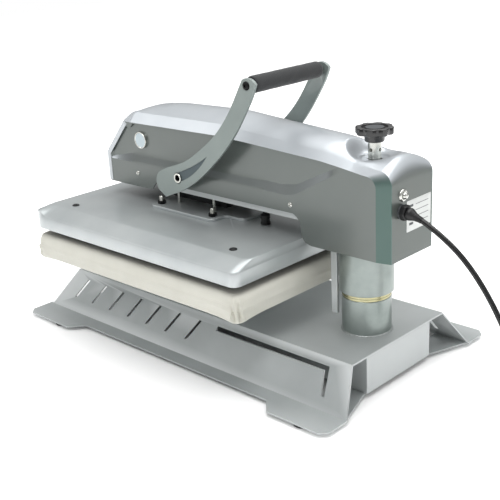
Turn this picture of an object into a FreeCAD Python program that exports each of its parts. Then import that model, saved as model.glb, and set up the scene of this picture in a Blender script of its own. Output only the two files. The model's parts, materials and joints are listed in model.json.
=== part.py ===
"""Swing-away heat press for 40 x 50 cm prints, as a parametric assembly of separate pieces.

Frame: +Z up, the operator stands on the -Y side, the origin lies on the floor below the middle of
the machine. Inside this file every y is counted from the swing column's axis, and each piece is
moved back by column_y when it is placed.
"""
import FreeCAD, Part
import math
import os
import re
import Sketcher
from FreeCAD import Placement, Rotation, Vector

SIZES = {
    # where the swing column stands
    "column_y": 274.2,
    # base: one folded steel sheet on four rubber feet
    "sheet_thick": 2.5,
    "foot_high": 6,
    "foot_radius": 13,
    "foot_x": 204,
    "foot_front_y": -556,
    "foot_rear_y": 34,
    "deck_z": 73,
    "deck_half": 121,
    "deck_front_y": -601.5,
    "deck_rear_y": 63.5,
    "flare_half": 166.6,
    "flare_front_y": -636,
    "flare_rear_y": 87,
    "fold_inset": 1.3,
    "rim_half": 193,
    "tab_half": 219,
    "tab_front_y": -643,
    "tab_front_end_y": -509,
    "tab_rear_start_y": -35,
    "tab_rear_y": 88.5,
    "tab_corner": 12,
    "slot_count": 7,
    "slot_first_y": -561.5,
    "slot_pitch": 51.4,
    "slot_lean": 18.5,
    "slot_wide": 5.8,
    "slot_top_z": 61.5,
    "slot_low_z": 30,
    "channel_half": 84.5,
    "channel_front_y": -560,
    "strap_half": 163,
    "strap_wide": 40,
    "long_slot_front_y": -212.5,
    "long_slot_rear_y": 27,
    "long_slot_z": 58.5,
    "long_slot_wide": 7.2,
    "long_slot_low_z": 24,
    # swing column
    "lower_tube_radius": 39.6,
    "lower_tube_bore": 34,
    "lower_tube_top_z": 132,
    "ring_radius": 39.2,
    "ring_bore": 31,
    "ring_top_z": 141,
    "spindle_radius": 30,
    "spindle_foot_top_z": 100,
    "spindle_top_z": 240,
    "sleeve_radius": 43.5,
    "sleeve_bore": 36,
    "sleeve_bottom_z": 141.3,
    "bush_bore": 30.05,
    "bush_long": 28,
    "bush_low_z": 142,
    "bush_high_z": 210,
    "stop_bar_x": 25,
    "stop_bar_wide": 5,
    "stop_bar_y": -47.5,
    "stop_bar_thick": 11.8,
    "stop_bar_bottom_z": 98,
    "stop_peg_radius": 4,
    "stop_peg_x": -48,
    "stop_peg_y": -4.4,
    "stop_peg_top_z": 105,
    # lower platen
    "platen_mid_y": -343,
    "pedestal_half_x": 60,
    "pedestal_half_y": 80,
    "pedestal_wall": 4,
    "tray_half_x": 200,
    "tray_half_y": 250,
    "tray_wall": 3,
    "tray_bottom_z": 131,
    "tray_top_z": 158,
    "pad_thick": 10,
    "cloth_half_x": 206,
    "cloth_half_y": 257,
    "cloth_bottom_z": 129,
    "cloth_top_z": 171.5,
    "cloth_corner": 22,
    "cloth_edge": 9,
    # heated upper platen
    "travel": 12,
    "cover_half_x": 205.4,
    "cover_half_y": 255,
    "cover_bottom_z": 183.9,
    "cover_side_top_z": 208,
    "cover_top_z": 220.3,
    "cover_bevel": 33,
    "cover_corner": 14,
    "cover_wall": 3,
    "plate_half_x": 197,
    "plate_half_y": 247,
    "plate_thick": 16,
    "heater_thick": 4,
    "insulation_thick": 7,
    "cap_inset": 53.6,
    "cap_radius": 5.5,
    "cap_high": 1.6,
    "bracket_half_x": 78,
    "bracket_half_y": 79,
    "bracket_thick": 5,
    "tongue_half_x": 45,
    "tongue_rear_y": -222,
    "bracket_round": 10,
    "stud_x": 62,
    "stud_y": 65,
    "stud_radius": 4.4,
    "stud_top_z": 240,
    "nut_flats": 13,
    "nut_high": 6,
    "lead_x": 30,
    "lead_y": -185,
    "lead_gland_radius": 8.5,
    "lead_gland_top_z": 238,
    "lead_radius": 4.5,
    "lead_top_z": 300,
    # press shaft and its guides
    "shaft_radius": 16,
    "shaft_head_radius": 22,
    "shaft_head_thick": 5,
    "fit_gap": 0.05,
    "free_gap": 0.3,
    "guide_half_x": 31,
    "guide_half_y": 68,
    "guide_bottom_z": 232,
    "floor_half_y": 78,
    "floor_thick": 5,
    "pin_x": 37.5,
    "pin_y": 45,
    "pin_radius": 3,
    "pin_top_z": 292,
    "washer_radius": 7,
    "washer_z": 286,
    "spring_radius": 5.6,
    "spring_wire": 0.9,
    "spring_turns": 6,
    # arm
    "beam_half": 54,
    "beam_wall": 4,
    "beam_front_y": -421,
    "beam_rear_y": 52,
    "beam_bottom_z": 251.5,
    "beam_top_z": 326,
    "arm_half": 58,
    "arm_wall": 3,
    "nose_y": -554,
    "chin_z": 245,
    "chin_rear_y": -436,
    "knee_z": 300.2,
    "brow_y": -475,
    "seam_z": 261.6,
    "seam_rear_y": -96,
    "skirt_y": -74,
    "skirt_z": 214.5,
    "rear_chamfer_y": 59,
    "rear_y": 84.7,
    "rear_half": 52.5,
    "band_wide": 13,
    "band_high": 16.5,
    "side_front_top_z": 364,
    "brow_out": 8,
    "cover_screw_front_y": -473,
    "cover_screw_front_z": 270.7,
    "cover_screw_rear_y": -104,
    "cover_screw_rear_z": 274.9,
    "cover_screw_radius": 3.8,
    "badge_y": -458.4,
    "badge_z": 333.6,
    "badge_radius": 15,
    # handle
    "pivot_y": -329.1,
    "pivot_z": 290.9,
    "pivot_radius": 9,
    "spacer_radius": 16,
    "handle_inner_x": 85,
    "handle_thick": 5,
    "grip_y": -156.3,
    "grip_z": 462.3,
    "grip_rod_radius": 8,
    "grip_radius": 13.5,
    "grip_half": 79,
    "cam_half": 12,
    "cam_low_radius": 14,
    "handle_travel_deg": 105,
    # pressure knob
    "knob_y": 17,
    "knob_base_z": 392,
    "knob_top_z": 403.4,
    "knob_radius": 29,
    "knob_lobes": 8,
    "hub_radius": 16,
    "hub_base_z": 381,
    "knob_collar_radius": 10,
    "screw_radius": 8,
    "collar_base_z": 354,
    "screw_low_z": 300,
    "dish_radius": 20,
    "dish_wall": 2,
    "dish_floor_z": 353.5,
    "dish_flare": 28.5,
    "dish_deep": 22,
    "rear_round": 17,
    "rear_round_top_z": 343.3,
    # rear fittings
    "gland_x": 28,
    "gland_z": 290,
    "gland_flats": 22,
    "gland_long": 12,
    "boot_root_radius": 9,
    "boot_tip_radius": 4.9,
    "boot_long": 24,
    "boot_drop_deg": 16,
    "breaker_x": 24.5,
    "breaker_z": 314.3,
    "breaker_radius": 9.6,
    "breaker_collar_thick": 3,
    "breaker_button_radius": 5.5,
    "breaker_button_out": 6,
    "label_left_x": -48,
    "label_right_x": 14.5,
    "label_bottom_z": 254,
    "label_top_z": 302,
    "label_thick": 0.5,
    # control panel on the sloping front
    "bezel_thick": 3.6,
    "panel_half_x": 46,
    "panel_margin": 9,
    "panel_thick": 3,
    "display_half_x": 31,
    "display_low": 48,
    "display_high": 78,
    "button_radius": 5.5,
    "button_pitch": 26,
    "button_up": 26,
    "button_out": 2.2,
    "board_gap": 14,
    "board_thick": 1.6,
    "rocker_half_x": 13,
    "rocker_half_z": 9,
    "rocker_z": 271,
    # mains lead
    "cord_diameter": 8,
    "coil_mean_radius": 44,
    "coil_x": -26,
    "coil_y": 372,
    "plug_long": 36,
    "plug_half_wide": 14,
    "plug_high": 22,
    "plug_boot_long": 26,
    "plug_pin_radius": 2.4,
    "plug_pin_long": 19,
}

doc = FreeCAD.newDocument("swing_away_press")
sheet = doc.addObject("Spreadsheet::Sheet", "Sizes")
for row, (alias, value) in enumerate(SIZES.items(), start=1):
    sheet.set(f"A{row}", alias)
    sheet.set(f"B{row}", str(value))
    sheet.setAlias(f"B{row}", alias)
doc.recompute()

nodes = {}


# ---------------------------------------------------------------- helpers

def ex(text):
    """An expression whose size names point into the spreadsheet."""
    return re.sub(r"[a-z][a-z_]*[a-z]", lambda m: f"Sizes.{m[0]}" if m[0] in SIZES else m[0], str(text))


def value(text):
    """The number that an expression of sizes gives now."""
    found = sheet.evalExpression(ex(text))
    return float(getattr(found, "Value", found))


def keep(piece, label):
    """Register a finished piece as a node and name it."""
    piece.Label = label
    nodes[label] = piece
    return piece


def place(piece, x, y, z):
    """Bind a piece's position, with y counted from the column's axis."""
    piece.setExpression("Placement.Base.x", ex(x))
    piece.setExpression("Placement.Base.y", ex(f"column_y + ({y})"))
    piece.setExpression("Placement.Base.z", ex(z))


def block(name, x, y, z):
    """A box between two corners, each given as (low, high)."""
    box = doc.addObject("Part::Box", name)
    for prop, (low, high) in (("Length", x), ("Width", y), ("Height", z)):
        box.setExpression(prop, ex(f"({high}) - ({low})"))
    place(box, x[0], y[0], z[0])
    return box


TURNS = {
    "x": Rotation(Vector(0, 1, 0), 90),
    "y": Rotation(Vector(1, 0, 0), -90),
    "z": Rotation(),
}


def rod(name, axis, at, span, radius, top_radius=None):
    """A cylinder or a cone along one axis, at the two other coordinates in at."""
    low, high = span
    kind = "Part::Cone" if top_radius else "Part::Cylinder"
    piece = doc.addObject(kind, name)
    if top_radius:
        piece.setExpression("Radius1", ex(radius))
        piece.setExpression("Radius2", ex(top_radius))
    else:
        piece.setExpression("Radius", ex(radius))
    piece.setExpression("Height", ex(f"({high}) - ({low})"))
    piece.Placement = Placement(Vector(), TURNS[axis])
    first, second = at
    corner = {"x": (low, first, second), "y": (first, low, second), "z": (first, second, low)}[axis]
    place(piece, *corner)
    return piece


def join(name, *pieces):
    """Pieces made one solid."""
    made = doc.addObject("Part::MultiFuse", name)
    made.Shapes = list(pieces)
    return made


def cut(name, base, *tools):
    """A piece with others taken away."""
    made = doc.addObject("Part::Cut", name)
    made.Base = base
    made.Tool = tools[0] if len(tools) == 1 else join(name + "_tools", *tools)
    return made


def together(name, *pieces):
    """Separate solids that share one node."""
    made = doc.addObject("Part::Compound", name)
    made.Links = list(pieces)
    return made


PLANES = {"x": "YZ_Plane", "y": "XZ_Plane", "z": "XY_Plane"}


def new_body(name, x="0", y="0", z="0"):
    body = doc.addObject("PartDesign::Body", name)
    place(body, x, y, z)
    return body


def sketch(body, axis, loops, offset):
    """Closed polygons on one of the body's own origin planes, every corner bound to sizes."""
    plane = next(f for f in body.Origin.OriginFeatures if f.Role == PLANES[axis])
    made = body.newObject("Sketcher::SketchObject", body.Name + "_sketch")
    made.AttachmentSupport = [(plane, "")]
    made.MapMode = "FlatFace"
    made.setExpression("AttachmentOffset.Base.z", ex(offset))
    for loop in loops:
        corners = [Vector(value(a), value(b), 0) for a, b in loop]
        first = made.GeometryCount
        count = len(corners)
        for i in range(count):
            made.addGeometry(Part.LineSegment(corners[i], corners[(i + 1) % count]), False)
        for i, (a, b) in enumerate(loop):
            made.addConstraint(Sketcher.Constraint(
                "Coincident", first + i, 2, first + (i + 1) % count, 1))
            for kind, text in (("DistanceX", a), ("DistanceY", b)):
                place_at = value(text)
                number = made.addConstraint(Sketcher.Constraint(kind, -1, 1, first + i, 1, place_at))
                made.setExpression(f"Constraints[{number}]", ex(text))
    return made


def pad(body, axis, loops, low, high):
    """Extrude polygons between two places on an axis. The XZ plane's normal is -Y."""
    drawn = sketch(body, axis, loops, f"-({high})" if axis == "y" else low)
    made = body.newObject("PartDesign::Pad", body.Name + "_pad")
    made.Profile = drawn
    made.setExpression("Length", ex(f"({high}) - ({low})"))
    doc.recompute()
    return made


def pocket(body, axis, loops, low, high):
    """Cut polygons away between two places on an axis, and make sure that something went."""
    before = body.Shape.Volume
    drawn = sketch(body, axis, loops, f"-({low})" if axis == "y" else high)
    made = body.newObject("PartDesign::Pocket", body.Name + "_pocket")
    made.Profile = drawn
    made.setExpression("Length", ex(f"({high}) - ({low})"))
    doc.recompute()
    if body.Shape.Volume > before - 1:
        raise ValueError(f"a pocket of {body.Name} cuts nothing")
    return made


def turned(name, x, y, profile):
    """A body of revolution about a vertical axis, from (radius, z) corners."""
    body = new_body(name, x, y)
    drawn = sketch(body, "y", [profile], "0")
    made = body.newObject("PartDesign::Revolution", name + "_turned")
    made.Profile = drawn
    made.ReferenceAxis = (drawn, ["V_Axis"])
    made.Angle = 360
    doc.recompute()
    return body


def rounded(body, radius, wanted, kind="Fillet"):
    """Round or chamfer the edges of a body that wanted(edge) picks."""
    doc.recompute()
    tip = body.Tip
    names = [f"Edge{i}" for i, e in enumerate(tip.Shape.Edges, start=1) if wanted(e)]
    made = body.newObject(f"PartDesign::{kind}", f"{body.Name}_{kind.lower()}")
    made.Base = (tip, names)
    made.setExpression("Radius" if kind == "Fillet" else "Size", ex(radius))
    doc.recompute()
    return made


def along(axis):
    """A test for straight edges parallel to an axis."""
    aim = {"x": Vector(1, 0, 0), "y": Vector(0, 1, 0), "z": Vector(0, 0, 1)}[axis]

    def test(edge):
        return edge.Curve.TypeId == "Part::GeomLine" and abs(edge.Curve.Direction.dot(aim)) > 0.999
    return test


def shaped(label, shape):
    """A piece whose shape comes from a formula, moved from the column's frame."""
    piece = doc.addObject("Part::Feature", label)
    piece.Shape = shape
    piece.Placement = Placement(Vector(0, value("column_y"), 0), Rotation()) * shape.Placement
    return keep(piece, label)


def rect(a, b):
    """A rectangle's corners from (low, high) pairs."""
    return [(a[0], b[0]), (a[1], b[0]), (a[1], b[1]), (a[0], b[1])]


def both(sign_free):
    """A text and its negative."""
    return (f"-({sign_free})", sign_free)


SIGNS = ("-", "")


def corners(x, y):
    """The four places (+-x, +-y) round a middle."""
    return [(f"{i}{x}", f"{j}{y}") for i in SIGNS for j in SIGNS]


# ---------------------------------------------------------------- base

def build_base_shell():
    """One sheet: flat deck, two flared sides with slots, a rim with a tab at each corner."""
    body = new_body("base_shell")
    top = [("tab_half", "foot_high + sheet_thick"), ("flare_half", "foot_high + sheet_thick"),
           ("deck_half", "deck_z")]
    under = [("deck_half - fold_inset", "deck_z - sheet_thick"),
             ("flare_half - fold_inset", "foot_high"), ("tab_half", "foot_high")]
    left = [(f"-({a})", b) for a, b in top]
    left_under = [(f"-({a})", b) for a, b in under]
    loop = top + left[::-1] + left_under[::-1] + under
    pad(body, "y", [loop], "tab_front_y", "tab_rear_y")

    above = "foot_high + sheet_thick + 0.01"
    far = "deck_z + 10"
    ends = [
        [("tab_front_y - 10", above), ("flare_front_y", above), ("deck_front_y", "deck_z"),
         ("deck_front_y", far), ("tab_front_y - 10", far)],
        [("tab_rear_y + 10", above), ("tab_rear_y + 10", far), ("deck_rear_y", far),
         ("deck_rear_y", "deck_z"), ("flare_rear_y", above)],
    ]
    pocket(body, "x", ends, "-tab_half", "tab_half")

    slots = []
    for i in range(int(value("slot_count"))):
        y = f"slot_first_y + {i} * slot_pitch"
        slots.append([(f"{y} - slot_wide / 2", "slot_top_z"), (f"{y} + slot_wide / 2", "slot_top_z"),
                      (f"{y} + slot_wide / 2 - slot_lean", "slot_low_z"),
                      (f"{y} - slot_wide / 2 - slot_lean", "slot_low_z")])
    high, low = "long_slot_z + long_slot_wide / 2", "long_slot_z - long_slot_wide / 2"
    slots.append([("long_slot_front_y", high), ("long_slot_rear_y", high),
                  ("long_slot_rear_y + 10", "long_slot_low_z"),
                  ("long_slot_rear_y + 10 - long_slot_wide", "long_slot_low_z"),
                  ("long_slot_rear_y - long_slot_wide", low), ("long_slot_front_y", low)])
    pocket(body, "x", slots, "-tab_half", "tab_half")

    rims = []
    for side in SIGNS:
        inner, outer = f"{side}rim_half", f"{side}1 * (tab_half + 5)"
        edge, bevel = f"{side}tab_half", f"{side}1 * (tab_half - tab_corner)"
        rims.append([(inner, "tab_front_end_y + tab_corner"), (edge, "tab_front_end_y - tab_corner"),
                     (outer, "tab_front_end_y - tab_corner"), (outer, "tab_rear_start_y + tab_corner"),
                     (edge, "tab_rear_start_y + tab_corner"), (inner, "tab_rear_start_y - tab_corner")])
        rims.append([(edge, "tab_rear_y - tab_corner"), (outer, "tab_rear_y - tab_corner"),
                     (outer, "tab_rear_y + 5"), (bevel, "tab_rear_y + 5"), (bevel, "tab_rear_y")])
        rims.append([(edge, "tab_front_y + tab_corner"), (outer, "tab_front_y + tab_corner"),
                     (outer, "tab_front_y - 5"), (bevel, "tab_front_y - 5"), (bevel, "tab_front_y")])
    pocket(body, "z", rims, "0", "deck_z - 20")
    keep(body, "base_shell")


def build_base():
    build_base_shell()
    under = "deck_z - sheet_thick"
    floor = "foot_high + sheet_thick"
    wall = "sheet_thick"
    outer = block("channel_outer", both("channel_half"), ("channel_front_y", "deck_rear_y"), (floor, under))
    inner = block("channel_inner", both(f"channel_half - {wall}"),
                  ("channel_front_y - 5", f"deck_rear_y - {wall}"), ("0", f"{under} - {wall}"))
    keep(cut("base_channel", outer, inner), "base_channel")

    front_strap = block("front_strap", both("strap_half"),
                        ("channel_front_y - strap_wide - 1", "channel_front_y - 1"), ("foot_high", floor))
    body = new_body("rear_strap")
    pad(body, "z", [[("-strap_half", "deck_rear_y - strap_wide"), ("strap_half", "deck_rear_y - strap_wide"),
                     ("strap_half", "flare_rear_y - 2"), ("channel_half", "deck_rear_y - 5"),
                     ("-channel_half", "deck_rear_y - 5"), ("-strap_half", "flare_rear_y - 2")]],
        "foot_high", floor)
    keep(together("cross_straps", front_strap, body), "cross_straps")

    feet = [rod("foot", "z", (f"{side}foot_x", y), ("0", "foot_high"), "foot_radius")
            for side in SIGNS for y in ("foot_front_y", "foot_rear_y")]
    keep(together("rubber_feet", *feet), "rubber_feet")


def build_column():
    outer = rod("lower_tube", "z", ("0", "0"), ("deck_z", "lower_tube_top_z"), "lower_tube_radius")
    inner = rod("lower_bore", "z", ("0", "0"), ("deck_z - 1", "lower_tube_top_z + 1"), "lower_tube_bore")
    keep(cut("column_lower", outer, inner), "column_lower")
    outer = rod("ring_outer", "z", ("0", "0"), ("lower_tube_top_z", "ring_top_z"), "ring_radius")
    inner = rod("ring_inner", "z", ("0", "0"), ("lower_tube_top_z - 1", "ring_top_z + 1"), "ring_bore")
    keep(cut("thrust_ring", outer, inner), "thrust_ring")
    keep(turned("pivot_spindle", "0", "0", [
        ("0", "deck_z"), ("lower_tube_bore", "deck_z"), ("lower_tube_bore", "spindle_foot_top_z"),
        ("spindle_radius", "spindle_foot_top_z"), ("spindle_radius", "spindle_top_z"),
        ("0", "spindle_top_z")]), "pivot_spindle")
    keep(rod("swing_stop_peg", "z", ("stop_peg_x", "stop_peg_y"), ("deck_z", "stop_peg_top_z"),
             "stop_peg_radius"), "swing_stop_peg")

    top = "beam_top_z - beam_wall"
    sleeve = turned("sleeve_blank", "0", "0", [
        ("sleeve_bore", "sleeve_bottom_z"), ("sleeve_radius", "sleeve_bottom_z"), ("sleeve_radius", top),
        ("0", top), ("0", "screw_low_z - 4"), ("sleeve_bore", "screw_low_z - 4")])
    thread = rod("screw_thread", "z", ("0", "knob_y"), ("screw_low_z - 5", "beam_top_z"), "screw_radius")
    keep(cut("column_sleeve", sleeve, thread), "column_sleeve")
    bushes = []
    for low in ("bush_low_z", "bush_high_z"):
        span = (low, f"{low} + bush_long")
        outer = rod("bush_outer", "z", ("0", "0"), span, "sleeve_bore")
        inner = rod("bush_inner", "z", ("0", "0"), (f"{low} - 1", f"{low} + bush_long + 1"), "bush_bore")
        bushes.append(cut("bush", outer, inner))
    keep(together("spindle_bushes", *bushes), "spindle_bushes")
    keep(block("swing_stop_bar", ("stop_bar_x", "stop_bar_x + stop_bar_wide"),
               ("stop_bar_y", "stop_bar_y + stop_bar_thick"), ("stop_bar_bottom_z", top)),
         "swing_stop_bar")


# ---------------------------------------------------------------- lower platen

def around_middle(half):
    """A y span either side of the platens' middle."""
    return (f"platen_mid_y - ({half})", f"platen_mid_y + ({half})")


def build_lower_platen():
    outer = block("pedestal_outer", both("pedestal_half_x"), around_middle("pedestal_half_y"),
                  ("deck_z", "tray_bottom_z"))
    inner = block("pedestal_inner", both("pedestal_half_x - pedestal_wall"),
                  around_middle("pedestal_half_y - pedestal_wall"), ("deck_z - 1", "tray_bottom_z + 1"))
    keep(cut("platen_pedestal", outer, inner), "platen_pedestal")
    outer = block("tray_outer", both("tray_half_x"), around_middle("tray_half_y"),
                  ("tray_bottom_z", "tray_top_z"))
    inner = block("tray_inner", both("tray_half_x - tray_wall"), around_middle("tray_half_y - tray_wall"),
                  ("tray_bottom_z + tray_wall", "tray_top_z - tray_wall"))
    keep(cut("lower_platen_tray", outer, inner), "lower_platen_tray")
    keep(block("silicone_pad", both("tray_half_x - 1"), around_middle("tray_half_y - 1"),
               ("tray_top_z", "tray_top_z + pad_thick")), "silicone_pad")

    body = new_body("platen_cloth_cover")
    pad(body, "z", [rect(both("cloth_half_x"), around_middle("cloth_half_y"))],
        "cloth_bottom_z", "cloth_top_z")
    rounded(body, "cloth_corner", along("z"))
    ceiling = value("cloth_top_z") - 0.01
    rounded(body, "cloth_edge", lambda e: e.BoundBox.ZMin > ceiling)
    pocket(body, "z", [rect(both("tray_half_x + 0.5"), around_middle("tray_half_y + 0.5"))],
           "cloth_bottom_z - 1", "tray_top_z + pad_thick + 0.2")
    keep(body, "platen_cloth_cover")


# ---------------------------------------------------------------- heated platen

def rounded_rectangle(x, y, z, radius):
    """A level outline round the platens' middle, with arcs at its corners."""
    middle = value("platen_mid_y")
    edges, last = [], None
    for sx, sy in ((1, 1), (-1, 1), (-1, -1), (1, -1)):
        centre = Vector(sx * (x - radius), middle + sy * (y - radius), z)
        side, end = Vector(sx * radius, 0, 0), Vector(0, sy * radius, 0)
        first, second = (side, end) if sx == sy else (end, side)
        arc = Part.Arc(centre + first, centre + (first + second).normalize() * radius, centre + second)
        if last is not None:
            edges.append(Part.LineSegment(last, arc.StartPoint).toShape())
        edges.append(arc.toShape())
        last = arc.EndPoint
    edges.append(Part.LineSegment(last, edges[0].Vertexes[0].Point).toShape())
    return Part.Wire(edges)


def build_upper_cover():
    """A shallow lid: upright sides, then a wide bevel along both long sides up to the flat top."""
    half_x, half_y = value("cover_half_x"), value("cover_half_y")
    low, side, top = value("cover_bottom_z"), value("cover_side_top_z"), value("cover_top_z")
    corner, bevel = value("cover_corner"), value("cover_bevel")

    def lid(shrink, drop):
        x, y, radius = half_x - shrink, half_y - shrink, corner - shrink
        levels = [rounded_rectangle(x, y, low - drop, radius), rounded_rectangle(x, y, side - shrink, radius),
                  rounded_rectangle(x - bevel, y - 2, top - shrink, radius)]
        return Part.makeLoft(levels, True, True)

    shell = lid(0, 0).cut(lid(value("cover_wall"), 5))
    for x, y in cap_places():
        hole = Part.makeCylinder(value("cap_radius") / 2, 30, Vector(x, value("platen_mid_y") + y, top - 20))
        shell = shell.cut(hole)
    shaped("upper_platen_cover", shell)


def cap_places():
    """Screw positions in from the lid's four corners, as numbers."""
    x = value("cover_half_x - cap_inset")
    y = value("cover_half_y - cap_inset")
    return [(i * x, j * y) for i in (-1, 1) for j in (-1, 1)]


def hexagon(flats, x, y):
    """Corners of a hexagonal nut seen from above."""
    radius = f"({flats}) / 1.732"
    turns = [math.radians(60 * k) for k in range(6)]
    return [(f"{x} + {radius} * {math.cos(a):.6f}", f"{y} + {radius} * {math.sin(a):.6f}") for a in turns]


def build_upper_platen():
    build_upper_cover()
    low = "cover_bottom_z"
    plate_top = "cover_bottom_z + plate_thick"
    keep(block("heat_platen", both("plate_half_x"), around_middle("plate_half_y"), (low, plate_top)),
         "heat_platen")
    keep(block("heater_pad", both("plate_half_x - 8"), around_middle("plate_half_y - 8"),
               (plate_top, f"{plate_top} + heater_thick")), "heater_pad")
    keep(block("insulation_board", both("plate_half_x - 45"), around_middle("plate_half_y - 10"),
               (f"{plate_top} + heater_thick", f"{plate_top} + heater_thick + insulation_thick")),
         "insulation_board")
    caps = [rod("cap", "z", (f"{x}", f"platen_mid_y + {y}"), ("cover_top_z", "cover_top_z + cap_high"),
                "cap_radius") for x, y in corners("1*(cover_half_x - cap_inset)", "1*(cover_half_y - cap_inset)")]
    keep(together("screw_caps", *caps), "screw_caps")

    plate_low, plate_high = "cover_top_z", "cover_top_z + bracket_thick"
    body = new_body("mount_bracket")
    front, rear = around_middle("bracket_half_y")
    loop = [("-bracket_half_x", front), ("bracket_half_x", front), ("bracket_half_x", rear),
            ("tongue_half_x", rear), ("tongue_half_x", "tongue_rear_y"), ("-tongue_half_x", "tongue_rear_y"),
            ("-tongue_half_x", rear), ("-bracket_half_x", rear)]
    pad(body, "z", [loop], plate_low, plate_high)
    rounded(body, "bracket_round", along("z"))
    pocket(body, "z", [hexagon("2 * stud_radius", x, f"platen_mid_y + {y}") for x, y in corners("stud_x", "stud_y")]
           + [hexagon("2 * pin_radius", x, f"platen_mid_y + {y}") for x, y in corners("pin_x", "pin_y")],
           f"{plate_low} - 1", f"{plate_high} + 1")
    keep(body, "mount_bracket")

    studs, nuts = [], []
    for number, (x, y) in enumerate(corners("stud_x", "stud_y")):
        at = (x, f"platen_mid_y + {y}")
        studs.append(rod("stud", "z", at, (plate_low, "stud_top_z"), "stud_radius * 0.98"))
        nut = new_body(f"bracket_nut_{number}")
        pad(nut, "z", [hexagon("nut_flats", *at)], plate_high, f"{plate_high} + nut_high")
        hole = rod("nut_hole", "z", at, (plate_low, "stud_top_z"), "stud_radius")
        nuts.append(cut("nut", nut, hole))
    keep(together("bracket_studs", *studs, *nuts), "bracket_studs")

    at = ("lead_x", "lead_y")
    gland = rod("lead_gland", "z", at, ("cover_top_z", "lead_gland_top_z"), "lead_gland_radius",
                "lead_gland_radius * 0.75")
    conduit = rod("lead_conduit", "z", at, ("lead_gland_top_z", "lead_top_z"), "lead_radius")
    keep(together("heater_lead", gland, conduit), "heater_lead")


def build_press_shaft():
    at = ("0", "platen_mid_y")
    head_top = "pivot_z - cam_low_radius - free_gap"
    shaft = rod("shaft", "z", at, ("cover_top_z + bracket_thick", f"{head_top} - shaft_head_thick"),
                "shaft_radius")
    head = rod("shaft_head", "z", at, (f"{head_top} - shaft_head_thick", head_top), "shaft_head_radius")
    keep(join("press_shaft", shaft, head), "press_shaft")
    pins, washers = [], []
    for x, y in corners("pin_x", "pin_y"):
        spot = (x, f"platen_mid_y + {y}")
        pins.append(rod("pin", "z", spot, ("cover_top_z", "pin_top_z"), "pin_radius * 0.98"))
        outer = rod("washer_outer", "z", spot, ("washer_z", "washer_z + 3"), "washer_radius")
        inner = rod("washer_inner", "z", spot, ("washer_z - 1", "washer_z + 4"), "pin_radius")
        washers.append(cut("washer", outer, inner))
    keep(together("guide_pins", *pins, *washers), "guide_pins")

    floor_span = ("beam_bottom_z", "beam_bottom_z + floor_thick")
    plate = block("guide_plate_blank", both("beam_half - beam_wall"), around_middle("floor_half_y"), floor_span)
    past = ("beam_bottom_z - 1", "beam_bottom_z + floor_thick + 1")
    holes = [rod("shaft_hole", "z", at, past, "shaft_radius + 1")]
    holes += [rod("pin_hole", "z", (x, f"platen_mid_y + {y}"), past, "pin_radius + fit_gap")
              for x, y in corners("pin_x", "pin_y")]
    keep(cut("guide_plate", plate, *holes), "guide_plate")
    blank = block("guide_blank", both("guide_half_x"), around_middle("guide_half_y"),
                  ("guide_bottom_z", "beam_bottom_z"))
    bore = rod("guide_bore", "z", at, ("guide_bottom_z - 1", "beam_bottom_z + 1"), "shaft_radius + fit_gap")
    keep(cut("guide_block", blank, bore), "guide_block")

    seat = value("beam_bottom_z + floor_thick + 0.2")
    length = value("washer_z") - 0.2 - seat
    wire, radius, turns = value("spring_wire"), value("spring_radius"), value("spring_turns")
    coils = []
    for x, y in corners("pin_x", "pin_y"):
        path = Part.makeHelix((length - 2 * wire) / turns, length - 2 * wire, radius)
        section = Part.Wire(Part.makeCircle(wire, Vector(radius, 0, 0), Vector(0, 1, 0)))
        coil = Part.Wire(path).makePipeShell([section], True, True)
        coil.translate(Vector(value(x), value(f"platen_mid_y + {y}"), seat + wire))
        coils.append(coil)
    shaped("lift_springs", Part.makeCompound(coils))


# ---------------------------------------------------------------- arm

def build_beam():
    outer = block("beam_outer", both("beam_half"), ("beam_front_y", "beam_rear_y"),
                  ("beam_bottom_z", "beam_top_z"))
    inner = block("beam_inner", both("beam_half - beam_wall"), ("beam_front_y - 1", "beam_rear_y + 1"),
                  ("beam_bottom_z - 1", "beam_top_z - beam_wall"))
    bore = rod("beam_pivot_bore", "x", ("pivot_y", "pivot_z"), both("beam_half + 5"), "pivot_radius + fit_gap")
    screw = rod("beam_screw_hole", "z", ("0", "knob_y"), ("beam_top_z - 10", "beam_top_z + 1"),
                "screw_radius + free_gap")
    keep(cut("arm_beam", outer, inner, bore, screw), "arm_beam")


# along the arm: y, top edge of the upright side, rise of the sloping band, rise of the crown on it
ARM_STATIONS = [(-475, 364, 16.5, 2), (-412, 365.3, 16.5, 14), (-264, 366.3, 16.5, 15), (-196, 363.5, 13.8, 16.5),
                (-33, 354, 10.5, 16), (17, 347.3, 9.5, 13), (44, 343.3, 9, 12.5), (64, 341.5, 9, 9),
                (84.7, 339, 9, 4)]


def arm_section(station, shrink, out=0):
    """The arm's cross-section at a station: upright sides, a sloping band, a crowned top."""
    y, edge, rise, crown = station
    y, edge = y - out, edge - shrink
    half = value("arm_half") - shrink
    inset = value("band_wide")
    low = value("skirt_z") - 10
    points = [Vector(-half, y, low), Vector(-half, y, edge), Vector(-half + inset, y, edge + rise)]
    top = Vector(0, y, edge + rise + crown)
    mirror = [Vector(-p.x, p.y, p.z) for p in points[::-1]]
    edges = [Part.LineSegment(a, b).toShape() for a, b in zip(points, points[1:])]
    edges.append(Part.Arc(points[-1], top, mirror[0]).toShape())
    edges += [Part.LineSegment(a, b).toShape() for a, b in zip(mirror, mirror[1:])]
    edges.append(Part.LineSegment(mirror[-1], points[0]).toShape())
    return Part.Wire(edges)


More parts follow.
